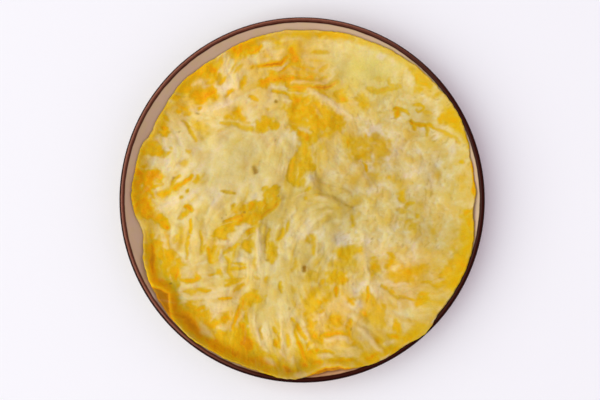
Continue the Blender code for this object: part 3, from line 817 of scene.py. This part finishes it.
# Burst bubbles: the x and y of the middle, half the width and how dark.
BUBBLES = (
    (-33.4, 22.5, 1.3, 0.7), (-33.3, 20.8, 1.4, 0.8), (-56, 5.4, 0.8, 0.5), (-49.3, 6.2, 0.8, 0.4),
    (-19, 43, 0.9, 0.5), (-30, 27, 0.7, 0.4), (-76, 62.5, 0.8, 0.7), (-75, 57.5, 0.6, 0.3),
    (-89, 49, 0.8, 0.6), (-93.5, 16, 0.8, 0.5), (-82.7, 6.8, 0.7, 0.5), (-87, 1.3, 0.8, 0.3),
    (-18.5, 71, 0.9, 1.0), (-36, 96, 0.8, 0.4), (-28.5, 107, 0.6, 0.4), (-31, 106, 0.6, 0.4),
    (-83.5, 74, 0.8, 0.4), (1.8, -48.7, 1.8, 1.0), (2.0, -51.0, 1.7, 1.0), (4.4, -48.2, 0.8, 0.4),
    (4.8, -50, 0.7, 0.35), (-41, -8.8, 0.9, 0.9), (-58, -11.5, 0.6, 0.6), (-56, -15, 0.6, 0.6),
    (-55, -10, 0.6, 0.5), (-49.7, -5, 0.6, 0.5), (-43, -11, 0.5, 0.5), (-16.5, 2.5, 0.7, 0.8),
    (-16.5, 9, 0.6, 0.5), (75.5, 43, 0.8, 0.4), (36, 86, 0.8, 0.3), (72.5, -33, 0.9, 0.5),
    (50.5, -27, 0.7, 0.4), (101, -38, 0.7, 0.3), (65, -63, 0.7, 0.6), (-9.5, -79, 0.7, 0.5),
    (36, -92.5, 0.9, 0.6), (10, -51.5, 0.6, 0.4), (-25.5, -43, 0.9, 0.6), (24.5, 2, 0.6, 0.5),
    (32, 19, 0.7, 0.3), (25, 20, 0.7, 0.3), (77, -17.8, 0.7, 0.6), (80.3, -21.5, 0.6, 0.5),
    (-3.5, -22, 0.7, 0.4), (-7, -26, 0.7, 0.2), (46.5, 28, 0.5, 0.7), (37, -61, 0.8, 0.3),
    (-14.5, -88.5, 0.7, 0.3), (76.8, 56.6, 0.6, 0.7), (-95.3, -59.5, 0.7, 0.8),
    (46.5, -73, 0.7, 0.5),
)

# Folds in the sheet: half the width, height, and the points that they run through.
FOLDS = (
    (4.5, 0.6, -38, -20, -20, -6, -8, 1), (3.5, 0.8, -8, 1, -2, 5, 5, 9),
    (3.0, 1.3, 5.5, 21, 7, 12, 8, 4), (3.2, 1.4, 9, 1.5, 18, 0, 26, -4, 36, -9),
    (2.6, 0.8, 3, -22, 11, -14, 22, -9), (2.2, 0.9, -32, -16, -31.5, -30, -31, -46),
    (2.6, 0.7, -62, -31, -52, -30, -47, -24, -38, -18.5), (1.8, 0.5, 10.5, -27, 10, -42),
    (2.0, 0.5, 4, 80, 17, 72.5, 36, 59), (2.0, 0.5, 41, -92, 47, -98, 56, -107),
    (1.9, 0.5, 16, -101, 24, -100, 37, -102), (1.5, 0.4, -8, 86, 4, 85, 19, 85),
    (1.8, 0.4, -26, -88, -26, -100), (1.6, 0.4, -15, -88, -14, -108),
    (1.8, 0.5, -35, -83, -31, -100, -26, -108), (2.2, 0.5, 44, -12, 43, -26, 47, -48, 48, -60),
    # the pleat at the lower left
    (1.7, 0.8, -109, -56, -107, -61, -103, -63.5, -98, -65.5, -96.5, -69, -96, -75, -93.5, -81,
     -90, -86, -86, -90),
)

# The plate's face under the sheet, and how steeply it stands.
climb = np.clip(radius_at / 1000 - WELL_RADIUS, 0, WALL_END - WELL_RADIUS)
over = np.clip(radius_at / 1000 - LIP_MIDDLE, WALL_END - LIP_MIDDLE, LIP_RADIUS * 0.9)
wall_height = WELL_HEIGHT + WALL_ARC - np.sqrt(WALL_ARC**2 - climb**2)
lip_height = LIP_LEVEL + np.sqrt(LIP_RADIUS**2 - over**2)
face_height = 1000 * np.where(radius_at / 1000 < WALL_END, wall_height, lip_height)
steepness = np.where(radius_at / 1000 < WALL_END, np.sqrt(1 - (climb / WALL_ARC) ** 2), 1)
steepness = np.maximum(blurred(steepness, 1), 0.5)

# The CAD sheet's edge: its radius and height at each turn.
EDGE_TURN = 2.5  # degrees between the CAD sheet's corners
corners = np.array([corner.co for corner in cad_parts["omelette"].data.vertices]) * 1000
corner_radius = np.hypot(corners[:, 0], corners[:, 1])
corner_turn = np.degrees(np.arctan2(corners[:, 1], corners[:, 0])) % 360
edge_turns = np.arange(0, 360, EDGE_TURN)
edge_radii, edge_heights = [], []
for turn in edge_turns:
    apart = np.abs((corner_turn - turn + 180) % 360 - 180)
    on_ray = np.flatnonzero(apart < EDGE_TURN / 4)
    outermost = on_ray[np.argmax(corner_radius[on_ray])]
    edge_radii.append(corner_radius[outermost])
    edge_heights.append(corners[outermost, 2])
edge_radii = np.array(edge_radii)
resting = face_height + REST_GAP / steepness
edge_lifts = np.maximum(edge_heights - read(resting, *at_turn(edge_radii, edge_turns)), 0)


def round_edge(values, turns):
    """Values given at the CAD corners, read at other turns."""
    return np.interp(turns, edge_turns, values, period=360)


# The edge, fried deeper yellow and curled up: the turn, how far it reaches past the CAD sheet's, how
# wide the fried band is and how strong, and how high it curls.
EDGE = (
    (0, 0.8, 5, 0.28, 0.2), (10, 0, 5, 0.28, 0.2), (20, -0.9, 4, 0.32, 0.2),
    (28, -0.9, 8, 0.8, 0.2), (36, -0.9, 4, 0.35, 0.2), (44, 0, 7, 0.65, 0.2),
    (52, 0.3, 3, 0.5, 0.1), (62, 0.3, 3, 0.55, 0.1), (75, 0.9, 3.5, 0.75, 0.2),
    (90, 0.7, 5, 0.65, 0.2), (100, 1.2, 4, 0.6, 0.2), (108, 1.5, 7, 0.9, 0.2),
    (115, 1.2, 5, 0.7, 0.2), (119, 0.9, 2, 0.2, 0.2), (125, 0.9, 8, 0.95, 0.2),
    (134, 2.0, 7, 0.9, 0.3), (142, 1.8, 8, 0.9, 0.3), (147, 2.2, 3, 0.6, 0.3),
    (152, 2.3, 6, 0.75, 0.3), (158, 2.0, 3, 0.5, 0.3), (163, 2.8, 6, 0.9, 0.4),
    (170, 2.6, 9, 1.1, 0.4), (177, 1.8, 12, 1.1, 0.4), (184, 1.2, 12, 1.1, 0.4),
    (188, 0.9, 2, 0.2, 0.4), (192, 0.2, 4, 0.5, 0.6), (196, 1.5, 5, 0.8, 0.8),
    (200, 3.0, 7, 0.9, 0.9), (205, 2.3, 7, 1.0, 1.0), (209, 1.2, 6, 1.0, 1.2),
    (212, -0.5, 6, 1.0, 1.5), (214, -2.4, 6, 1.0, 1.6), (216, -2.8, 7, 1.0, 1.4),
    (218, -1.2, 5, 1.0, 1.2), (220, -0.8, 5, 1.0, 1.0), (224, 0.6, 6, 1.0, 1.0),
    (232, 0.2, 8, 0.95, 1.0), (238, -1.0, 9, 0.95, 1.0), (255, -0.7, 9, 0.9, 0.9),
    (262, 0, 9, 0.9, 0.8), (270, -0.3, 6, 0.8, 0.8), (275, -0.4, 5, 0.75, 0.8),
    (279, 0.7, 5, 0.7, 0.8), (284, 0.4, 5, 0.75, 0.7), (289, 0.8, 6, 0.8, 0.4),
    (296, -0.2, 8, 0.85, 0.4), (304, -1.2, 7, 0.8, 0.4), (312, -1.2, 7, 0.7, 0.4),
    (318, 0.3, 4, 0.5, 0.3), (326, 0.8, 3, 0.4, 0.3), (334, 0.4, 9, 0.8, 0.3),
    (343, -0.4, 10, 0.85, 0.3), (350, 0.3, 8, 0.8, 0.3), (356, 0.8, 7, 0.8, 0.3),
    (358, 0.8, 2, 0.2, 0.2),
)
band_turns, edge_more, band_widths, band_strengths, curls = (
    np.array(column) for column in zip(*EDGE)
)

# Where the sheet was pinched, a skirt of egg lies past the curled edge, lower down, deep brown: partly
# fried, partly painted shade under the curl. The turn and how far the skirt reaches.
SKIRT = (
    (209, 0), (211, 1.5), (213, 6), (214.5, 8.5), (216, 7.5), (218, 4.5), (221, 2), (224, 0),
    (271, 0), (275, 2.4), (279, 3.0), (284, 2.4), (288, 0),
)
skirt_turns, skirt_widths = (np.array(column) for column in zip(*SKIRT))
SKIRT_BROWN_AND_SHADE = 1.85

# How far each place lies inside the curled edge, and inside the sheet's own edge, skirt and all.
ragged = 0.16 * cloud(6) + 0.08 * cloud(2.5)
curl_radii = edge_radii + np.interp(edge_turns, band_turns, edge_more, period=360)
sheet_radii = curl_radii + np.interp(edge_turns, skirt_turns, skirt_widths, period=360)
inset = round_edge(curl_radii, turn_at) + ragged - radius_at
sheet_inset = round_edge(sheet_radii, turn_at) + ragged - radius_at
lift = round_edge(edge_lifts, turn_at) * smooth(1 - sheet_inset / LIFT_REACH)
under_height = resting + lift
band_width = np.interp(turn_at, band_turns, band_widths, period=360) * (1 + 0.25 * cloud(9))
band_strength = np.interp(turn_at, band_turns, band_strengths, period=360)
curl = np.interp(turn_at, band_turns, curls, period=360)

# Broad soft patches: the x and y of the middle, the spread and how much. First where the egg is
# yolkier all through, or paler where less than 0.
YOLKIER = (
    (-45, 35, 26, -0.09), (-75, 4, 14, -0.08), (0, 0, 12, 0.12), (25, 0, 10, 0.08),
    (12, 72, 14, 0.08), (25, 50, 10, 0.06), (-72, -24, 12, 0.10), (-72, -72, 10, -0.10),
    (-24, -72, 12, 0.09), (0, -72, 10, -0.05), (48, -72, 12, -0.05), (50, -20, 16, -0.07),
    (48, 24, 10, -0.04), (-55, 99, 14, -0.10), (-25, 105, 10, -0.08), (42, 110, 16, -0.08),
    (-97, 42, 9, -0.18), (-94, -22, 14, -0.10), (52, 36, 14, -0.20), (0, 48, 6, -0.2),
    (-35, -52, 9, -0.08), (-4, -64, 6, 0.12), (30, -33, 9, -0.10), (64, -78, 14, -0.14),
    (104, 48, 8, -0.12), (88, 18, 9, -0.07), (70, -53, 8, -0.22), (-92, -69, 6, -0.10),
    (-25, -80, 9, -0.10), (-4, 112, 9, 0.24), (-35, 90, 8, 0.22), (-87, 68, 11, 0.20),
    (-22, -12, 8, 0.12), (90, -55, 9, 0.12), (45, -96, 16, 0.12), (60, -103, 8, 0.18),
    (90, -77, 7, 0.15), (-58, -53, 10, 0.07), (76, -8, 14, 0.04), (104, -22, 11, 0.05),
    (-30, 35, 22, 0.03), (40, 68, 8, -0.08), (0, -72, 12, -0.06), (62, -60, 8, 0.08),
    (-28, 47, 8, -0.06), (-28, 33, 6, 0.05), (-10, 18, 8, -0.05), (46, 41, 9, -0.12),
    (0, -22, 9, -0.14), (1, -38, 6, 0.12), (-15, -40, 10, -0.08), (0, 50, 5, -0.25),
    (-77, 58, 9, -0.12), (-45, 100, 14, -0.06), (65, 98, 10, -0.08), (45, -72, 7, -0.24),
    (68, 62, 5, -0.07), (92, 18, 8, -0.05), (30, -35, 7, -0.07), (-40, 8, 9, -0.05),
    (23, 78, 11, 0.13), (50, 68, 6, 0.12), (38, 52, 7, 0.08), (58, 25, 7, 0.10),
    (30, -14, 8, 0.06), (70, -45, 6, 0.15), (72, -63, 9, 0.12), (-36, -78, 6, 0.15),
    (-108, -17, 7, 0.20), (95, -55, 8, 0.07), (25, -100, 12, 0.08), (100, 30, 6, 0.08),
    (15, 45, 7, 0.15), (-14, 62, 8, 0.10), (-8, -121, 7, 0.30), (12, -115, 9, 0.06),
)
# Where it is lighter, or darker where less than 0: partly the egg's own tone, partly painted light and
# shade.
LIGHTER_TONE_AND_LIGHT = (
    (-75, 75, 18, 0.06), (-102, 26, 14, 0.07), (-98, -10, 18, 0.05), (-72, -75, 14, 0.08),
    (-50, 20, 16, -0.06), (0, 0, 16, -0.05), (26, -10, 18, -0.05), (-24, -24, 12, -0.06),
    (60, 0, 26, -0.02), (-95, -28, 15, 0.09), (-104, -53, 11, 0.24), (-90, -68, 6, 0.06),
    (-53, -95, 10, 0.24), (-16, -106, 10, 0.18), (-30, 108, 24, 0.12), (-65, 94, 13, 0.10),
    (38, 110, 18, 0.12), (82, 84, 12, 0.08), (15, -80, 10, 0.18), (48, -71, 12, 0.14),
    (17, -110, 13, 0.20), (84, -72, 8, 0.09), (66, -92, 8, 0.07), (48, -33, 14, 0.13),
    (86, 20, 10, 0.11), (68, 44, 10, 0.08), (70, -54, 9, 0.18), (-22, -12, 8, -0.10),
    (80, -10, 9, -0.10), (104, -22, 12, -0.07), (92, -52, 9, -0.09), (44, -98, 9, -0.10),
    (-20, 22, 18, -0.04), (32, 0, 10, -0.06), (-60, -55, 10, -0.06), (40, 70, 9, 0.18),
    (-100, 46, 7, 0.10), (-92, 36, 7, -0.08), (-86, 46, 6, -0.08), (-32, -52, 8, 0.14),
    (104, 52, 9, 0.04), (105, -55, 8, 0.10), (-105, 5, 8, 0.10), (60, 28, 8, -0.08),
    (15, -27, 7, -0.09), (100, 25, 8, -0.07), (-45, 45, 7, -0.07), (-20, -52, 7, -0.09),
    (-30, 88, 8, -0.05), (-5, -76, 7, 0.08), (-30, 47, 9, 0.06), (-15, 18, 9, 0.05),
    (1, -38, 6, -0.08), (-45, 8, 8, 0.10), (-80, 65, 9, 0.09), (-48, 62, 7, 0.08),
    (-75, 50, 7, 0.07), (-14, 34, 8, 0.03), (10, 66, 8, 0.10), (96, -5, 8, 0.14),
    (85, -42, 8, 0.12), (67, -14, 7, 0.05), (52, -2, 7, 0.08), (-5, 45, 5, -0.08),
    (13, -47, 8, -0.08), (0, -23, 10, 0.11), (10, -2, 6, 0.06), (58, -60, 8, -0.12),
    (-35, -80, 7, -0.08), (38, -38, 7, -0.10), (30, -18, 7, -0.07), (80, 62, 8, -0.10),
    (50, 70, 6, -0.10), (40, 52, 6, -0.06), (-80, -15, 7, -0.08), (-62, 10, 6, -0.08),
    (-8, -121, 8, -0.15), (-106, -60, 6, 0.15), (25, -52, 6, 0.08), (68, 65, 6, 0.10),
)
# Where it is pinker, or greener where less than 0.
WARMER = (
    (-30, 82, 24, 0.35), (-72, 72, 16, 0.35), (2, 98, 12, 0.55), (24, 64, 14, 0.35),
    (-90, 20, 16, 0.05), (76, -55, 16, 0.65), (20, -84, 14, 0.45), (48, -82, 16, 0.25),
    (-50, -76, 12, 0.45), (50, 30, 14, 0.35), (0, -24, 16, -0.55), (-20, -60, 18, -0.3),
    (-94, -15, 14, -0.1), (-24, -72, 10, -0.4), (50, 80, 14, -0.4), (-45, 30, 20, -0.15),
    (40, -15, 14, -0.25),
)

# The drawn marks, and the stretches that set calm and glassy, or pebbly.
yolk_marks = np.maximum(pooled(POOLS), streaked(STREAKS))
white_marks = streaked(WHITES)
shaded_grooves = streaked(SHADED_GROOVES)
films = streaked(FILMS)
left_calm = bell(x_at, -45, 34) * bell(y_at, 28, 26)
glassy = bell(x_at, 46, 27) * bell(y_at, 96, 15)
low_calm = 0.8 * bell(x_at, -18, 15) * bell(y_at, -62, 24)
calm = np.clip(left_calm + glassy + low_calm, 0, 1)
pebbly = smooth((x_at - 8) / 30) * smooth((y_at + 75) / 25)
strands = 0.4 * fine_strands + 0.8 * broad_strands
grain = strands * (1 - pebbly) + (0.6 * pebbles + 0.6 * ripples) * pebbly

# How white the egg is, and how yolky: a wash all over, then the marks, the fried edge and the skirt.
white = white_marks * (0.85 + 0.15 * fine_strands) * (1 - 0.35 * np.minimum(yolk_marks, 1))
white = np.maximum(white, 0.24 * smooth((-grain - 0.4) / 1.6) * (1 - calm) * (1 - 0.5 * pebbly))
wash = 0.21 + patched(YOLKIER) + 0.03 * ripples + 0.055 * grain * (1 - 0.6 * calm)
curdled = 0.07 * grain + 0.10 * cloud(3.2) - 0.40 * smooth((cloud(4) - 0.7) / 1.3)
curdled *= 1 - 0.7 * smooth((yolk_marks - 1.0) / 0.5)
pooling = np.minimum(yolk_marks, 1) * (1 - 0.7 * white_marks)
yolk = wash * (1 - pooling) + yolk_marks * (1 - 0.7 * white_marks) * (0.92 + curdled)
yolk += 0.25 * smooth((strands - 1.1) / 1.4) * (1 - 0.9 * calm) * (1 - pebbly) * (1 - white_marks)
band = smooth((band_width - inset) / 5 + 0.5)
fried = band_strength * (0.88 + 0.12 * grain + 0.14 * cloud(4))
yolk = np.maximum(yolk, yolk * (1 - band) + band * fried)
# Round the curled edge: yolkier in the hollow behind it, as painted shade, and paler on its crest, as a
# painted highlight.
yolk += 0.06 * curl * bell(inset, 5.4, 2.4)
yolk -= 0.30 * np.minimum(curl, 1) * bell(inset, 0.9, 0.9)
# The skirt is coloured deep brown: egg fried brown, and painted shade under the curled edge.
skirt = smooth(-inset / 1.2)
yolk = yolk * (1 - skirt) + SKIRT_BROWN_AND_SHADE * skirt

# Olive and brown in small specks, and painted shade in the grooves and along the sunken sides of the
# pools; then the bubbles.
specks = smooth((combed(cloud(1.6), 2) - 1.6) / 0.4)
specks = specks * (0.2 + 0.8 * pebbly) * (1 - 0.8 * pooling) * (1 - calm)
shaded_pool_sides = np.minimum(yolk_marks, 1) * (1 - np.minimum(yolk_marks, 1)) * 4 * smooth(0.4 + 0.5 * cloud(6))
deep = np.clip(0.8 * blurred(shaded_grooves, 0.5) + 0.6 * specks + 0.17 * shaded_pool_sides, 0, 1)
pits = np.zeros_like(x_at)
bubble_relief = np.zeros_like(x_at)
for x, y, half_width, darkness in BUBBLES:
    away = np.hypot(x_drift - x, y_drift - y) / half_width
    pits = np.maximum(pits, darkness * smooth(1.6 - away))
    bubble_relief += half_width * (0.18 * bell(away, 1.6, 0.5) - 0.45 * bell(away, 0, 1))

# How pink the egg is, and how light. Lighter to the left and, round the rim, to the right and top is
# painted light; behind the curled edge it is darker, painted shade in the hollow.
warm = np.clip(0.10 + patched(WARMER) + 0.10 * cloud(9), 0, 1)
rim = smooth((radius_at - 104) / 14)
glow = 1 - 0.0008 * x_at + patched(LIGHTER_TONE_AND_LIGHT) + 0.01 * cloud(10)
glow += rim * (0.0006 * x_at + 0.0005 * y_at)
glow -= 0.20 * smooth(curl - 0.3) * bell(inset, 5.4, 3.0)

# How the sheet stands: folds and set strands proud, pools and grooves sunk, the edge curled up with
# a hollow behind it, and the skirt lower down.
relief = 1.5 * raised(FOLDS) + 0.5 * white - 0.5 * pooling - 0.7 * shaded_grooves
relief += (0.10 * fine_strands + 0.20 * broad_strands) * (1 - 0.7 * calm) * (1 - 0.5 * pebbly)
relief += (0.11 + 0.04 * pebbly) * pebbles * (1 - 0.6 * calm)
relief += 0.45 * ripples * (1 - 0.5 * calm) * (1 - 0.35 * pebbly) + 0.8 * cloud(16) + bubble_relief
relief *= smooth(inset / 4)
relief += curl * (bell(inset, 1.3, 1.3) - 0.8 * bell(inset, 5.5, 2.6))
relief -= 0.9 * smooth(-inset / 1.5)

# How thick it is: less towards the rim, tapered and rounded at its edge, and measured upright.
share_out = np.clip(radius_at / round_edge(sheet_radii, turn_at), 0, 1)
thickness = MIDDLE_THICKNESS + (RIM_THICKNESS - MIDDLE_THICKNESS) * smooth((share_out - 0.45) / 0.55)
rounding = np.sqrt(1 - (1 - np.clip(sheet_inset / EDGE_ROUNDING, 0.02, 1)) ** 2)
thickness -= (thickness - EDGE_THICKNESS) * (1 - np.clip(sheet_inset / EDGE_TAPER, 0, 1)) ** 2
thickness = np.maximum(thickness / steepness + relief, 0.5) * rounding
top_height = np.minimum(under_height + np.maximum(thickness, LEAST_THICKNESS), cad_high[2] * 1000)

bpy.ops.object.select_all(action="DESELECT")
bpy.ops.mesh.primitive_grid_add(x_subdivisions=SHEET_CELLS, y_subdivisions=SHEET_CELLS, size=2)
sheet = start_piece("omelette_sheet")
bpy.ops.object.mode_set(mode="OBJECT")


def corners_of(piece):
    """The places of the piece's corners, one row each."""
    found = np.empty(len(piece.data.vertices) * 3)
    piece.data.vertices.foreach_get("co", found)
    return found.reshape(-1, 3)


# Each square ring of the grid becomes a round one, and the round ones fill the sheet's outline. Only
# the outer ones follow its unevenness.
OUTLINE_PULL = 6
places = corners_of(sheet)
u, v = places[:, 0], places[:, 1]
wide = np.abs(u) > np.abs(v)
longer = np.where(wide, u, v)
shorter = np.where(wide, v, u)
swing = math.pi / 4 * shorter / np.where(longer == 0, 1, longer)
swing = np.where(wide, swing, math.pi / 2 - swing)
disc = longer * np.exp(1j * swing)
ring_share = np.abs(disc)
turns = np.degrees(np.angle(disc)) % 360
even = sheet_radii.mean()
edge_here = round_edge(sheet_radii, turns)
edge_here = edge_here + read(ragged, *at_turn(edge_here, turns))
reach = ring_share * (even + (edge_here - even) * ring_share**OUTLINE_PULL)
places[:, 0], places[:, 1] = at_turn(reach, turns)
places[:, 2] = read(top_height, places[:, 0], places[:, 1])
sheet.data.vertices.foreach_set("co", (places / 1000).ravel())
top_count = len(places)

# The underside: the edge is turned in under the sheet, ring by ring, and closed on the well.
UNDER_SHARES = (0.992, 0.97, 0.93, 0.87, 0.80, 0.72)
bpy.ops.object.mode_set(mode="EDIT")
bpy.ops.mesh.select_non_manifold()
before = 1.0
for share in UNDER_SHARES:
    shrink = share / before
    bpy.ops.mesh.extrude_edges_indiv()
    bpy.ops.transform.resize(value=(shrink, shrink, 1), center_override=(0, 0, 0))
    before = share
close_piece(smooth_angle=60)
places = corners_of(sheet) * 1000
places[top_count:, 2] = read(under_height, places[top_count:, 0], places[top_count:, 1])
sheet.data.vertices.foreach_set("co", (places / 1000).ravel())
sheet.data.update()

# The marbling is carried by the mesh, one attribute for each thing the material reads.
marbling = {
    "yolk": yolk,
    "white": white,
    "film": films,
    "deep": deep,
    "glassy": glassy,
    "pits": pits,
    "glow": glow,
    "warm": warm,
}
for name, field in marbling.items():
    values = read(field, places[:, 0], places[:, 1])
    made = sheet.data.attributes.new(name, "FLOAT", "POINT")
    made.data.foreach_set("value", values.astype(np.float32))

EGG_WHITE = (0.79, 0.66, 0.345, 1)
EGG_PEACH = (1.04, 0.90, 0.86)  # how the warmer stretches are tinted
EGG_GLASSY = (0.68, 0.56, 0.13, 1)
EGG_FILM = (0.62, 0.53, 0.38, 1)
EGG_DEEP_AND_SHADE = (0.48, 0.30, 0.02, 1)  # olive specks, and painted shade in the grooves and along the pools' sides
EGG_PIT = (0.40, 0.22, 0.015, 1)
# From the cream of the white and yolk beaten together, through yolk, to yolk fried brown.
EGG_TONES = (
    (0.00, (0.77, 0.65, 0.385, 1)),
    (0.06, (0.74, 0.605, 0.245, 1)),
    (0.12, (0.71, 0.535, 0.142, 1)),
    (0.20, (0.70, 0.485, 0.064, 1)),
    (0.28, (0.70, 0.47, 0.026, 1)),
    (0.38, (0.71, 0.45, 0.005, 1)),
    (0.50, (0.75, 0.42, 0.002, 1)),
    (0.62, (0.78, 0.365, 0.001, 1)),
    (0.78, (0.66, 0.27, 0.001, 1)),
    (0.95, (0.50, 0.21, 0.001, 1)),
)

egg = Finish(
    "marbled_egg",
    Subsurface_Weight=0.5,
    Subsurface_Scale=0.0012,
    Subsurface_Radius=(1.0, 0.55, 0.2),
    Specular_IOR_Level=0.12,
    IOR=1.4,
)
yolk_here = egg.attribute("yolk")
white_here = egg.attribute("white")
curds = egg.noise(0.0032, 4, roughness=0.6)
flecks = egg.noise(0.0012, 2)
tone = yolk_here * 0.5 + (curds - 0.5) * 0.10 + (flecks - 0.5) * 0.03
flesh = egg.node("ShaderNodeValToRGB", {"stops": EGG_TONES}, {"Fac": tone}, output="Color")
flesh = egg.mix(egg.attribute("glassy") * 0.8, flesh, EGG_GLASSY)
flesh = egg.mix(white_here.fade(0.05, 0.95) * 0.75, flesh, EGG_WHITE)
flesh = egg.mix(egg.attribute("film") * 0.8, flesh, EGG_FILM)
peach = egg.node("ShaderNodeVectorMath", {"operation": "MULTIPLY"}, {0: flesh, 1: EGG_PEACH})
flesh = egg.mix(egg.attribute("warm"), flesh, peach)
# Painted light and shade scale the colour, with fine flecks of the egg's own tone.
lit = egg.attribute("glow") * (0.92 + flecks * 0.16)
flesh = egg.node("ShaderNodeVectorMath", {"operation": "SCALE"}, {"Vector": flesh, "Scale": lit})
# Olive and brown: the egg's own specks, and painted shade in the grooves and along the pools' sides.
flesh = egg.mix(egg.attribute("deep") * 0.75, flesh, EGG_DEEP_AND_SHADE)
egg.feed("Base Color", egg.mix(egg.attribute("pits"), flesh, EGG_PIT))
egg.feed("Roughness", 0.46 - yolk_here.fade(0, 1) * 0.12 + (curds - 0.5) * 0.25)
egg.feed("Normal", egg.bump(flecks, 0.00018, egg.bump(curds, 0.00036)))
sheet.data.materials.append(egg.material)
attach(sheet, "root")
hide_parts("omelette")


# ---------------------------------------------------------------- the studio
# A white paper floor, one wide soft light fairly high on the left, as from a window, and the pale
# lavender light of the room all round. The camera looks straight down on the plate.

PAPER_WHITE = (0.94, 0.94, 0.94, 1)
FLOOR_SIZE = 12
ROOM_COLOUR = (1.0, 0.87, 1.04, 1)
ROOM_STRENGTH = 0.62
WINDOW_COLOUR = (0.90, 1.02, 0.92)
WINDOW_POWER = 347
WINDOW_SIZE = 8.0
WINDOW_PLACE = (-4.1, -0.25, 5.0)
CAMERA_HEIGHT = 1.0  # over the plate's lip
CAMERA_ASIDE = -0.00152
LENS = 84.54
SENSOR_WIDTH = 36
NEAREST_SEEN = 0.01

bpy.ops.object.select_all(action="DESELECT")
bpy.ops.mesh.primitive_plane_add(size=FLOOR_SIZE, location=(0, 0, 0))
bpy.ops.object.transform_apply()
floor = bpy.context.object
floor.name = "studio_floor"
paper = Finish("studio_paper", Base_Color=PAPER_WHITE, Roughness=0.9)
floor.data.materials.append(paper.material)

world = bpy.data.worlds.new("studio_air")
bpy.context.scene.world = world
world.use_nodes = True
world.cycles_visibility.glossy = False
background = world.node_tree.nodes["Background"]
background.inputs["Color"].default_value = ROOM_COLOUR
background.inputs["Strength"].default_value = ROOM_STRENGTH


def set_up(name, data, place):
    """Puts a light or a camera in the studio, at this place."""
    holder = bpy.data.objects.new(name, data)
    bpy.context.scene.collection.objects.link(holder)
    holder.location = place
    return holder


window = set_up("window", bpy.data.lights.new("window", "AREA"), WINDOW_PLACE)
window.data.size = WINDOW_SIZE
window.data.energy = WINDOW_POWER
window.data.color = WINDOW_COLOUR
window.rotation_euler = (-window.location).to_track_quat("-Z", "Y").to_euler()

camera_place = (CAMERA_ASIDE, 0.0, CAMERA_HEIGHT + PLATE_HEIGHT)
camera = set_up("camera", bpy.data.cameras.new("camera"), camera_place)
camera.data.lens = LENS
camera.data.sensor_width = SENSOR_WIDTH
camera.data.clip_start = NEAREST_SEEN
bpy.context.scene.camera = camera
bpy.context.scene.view_settings.view_transform = "Standard"
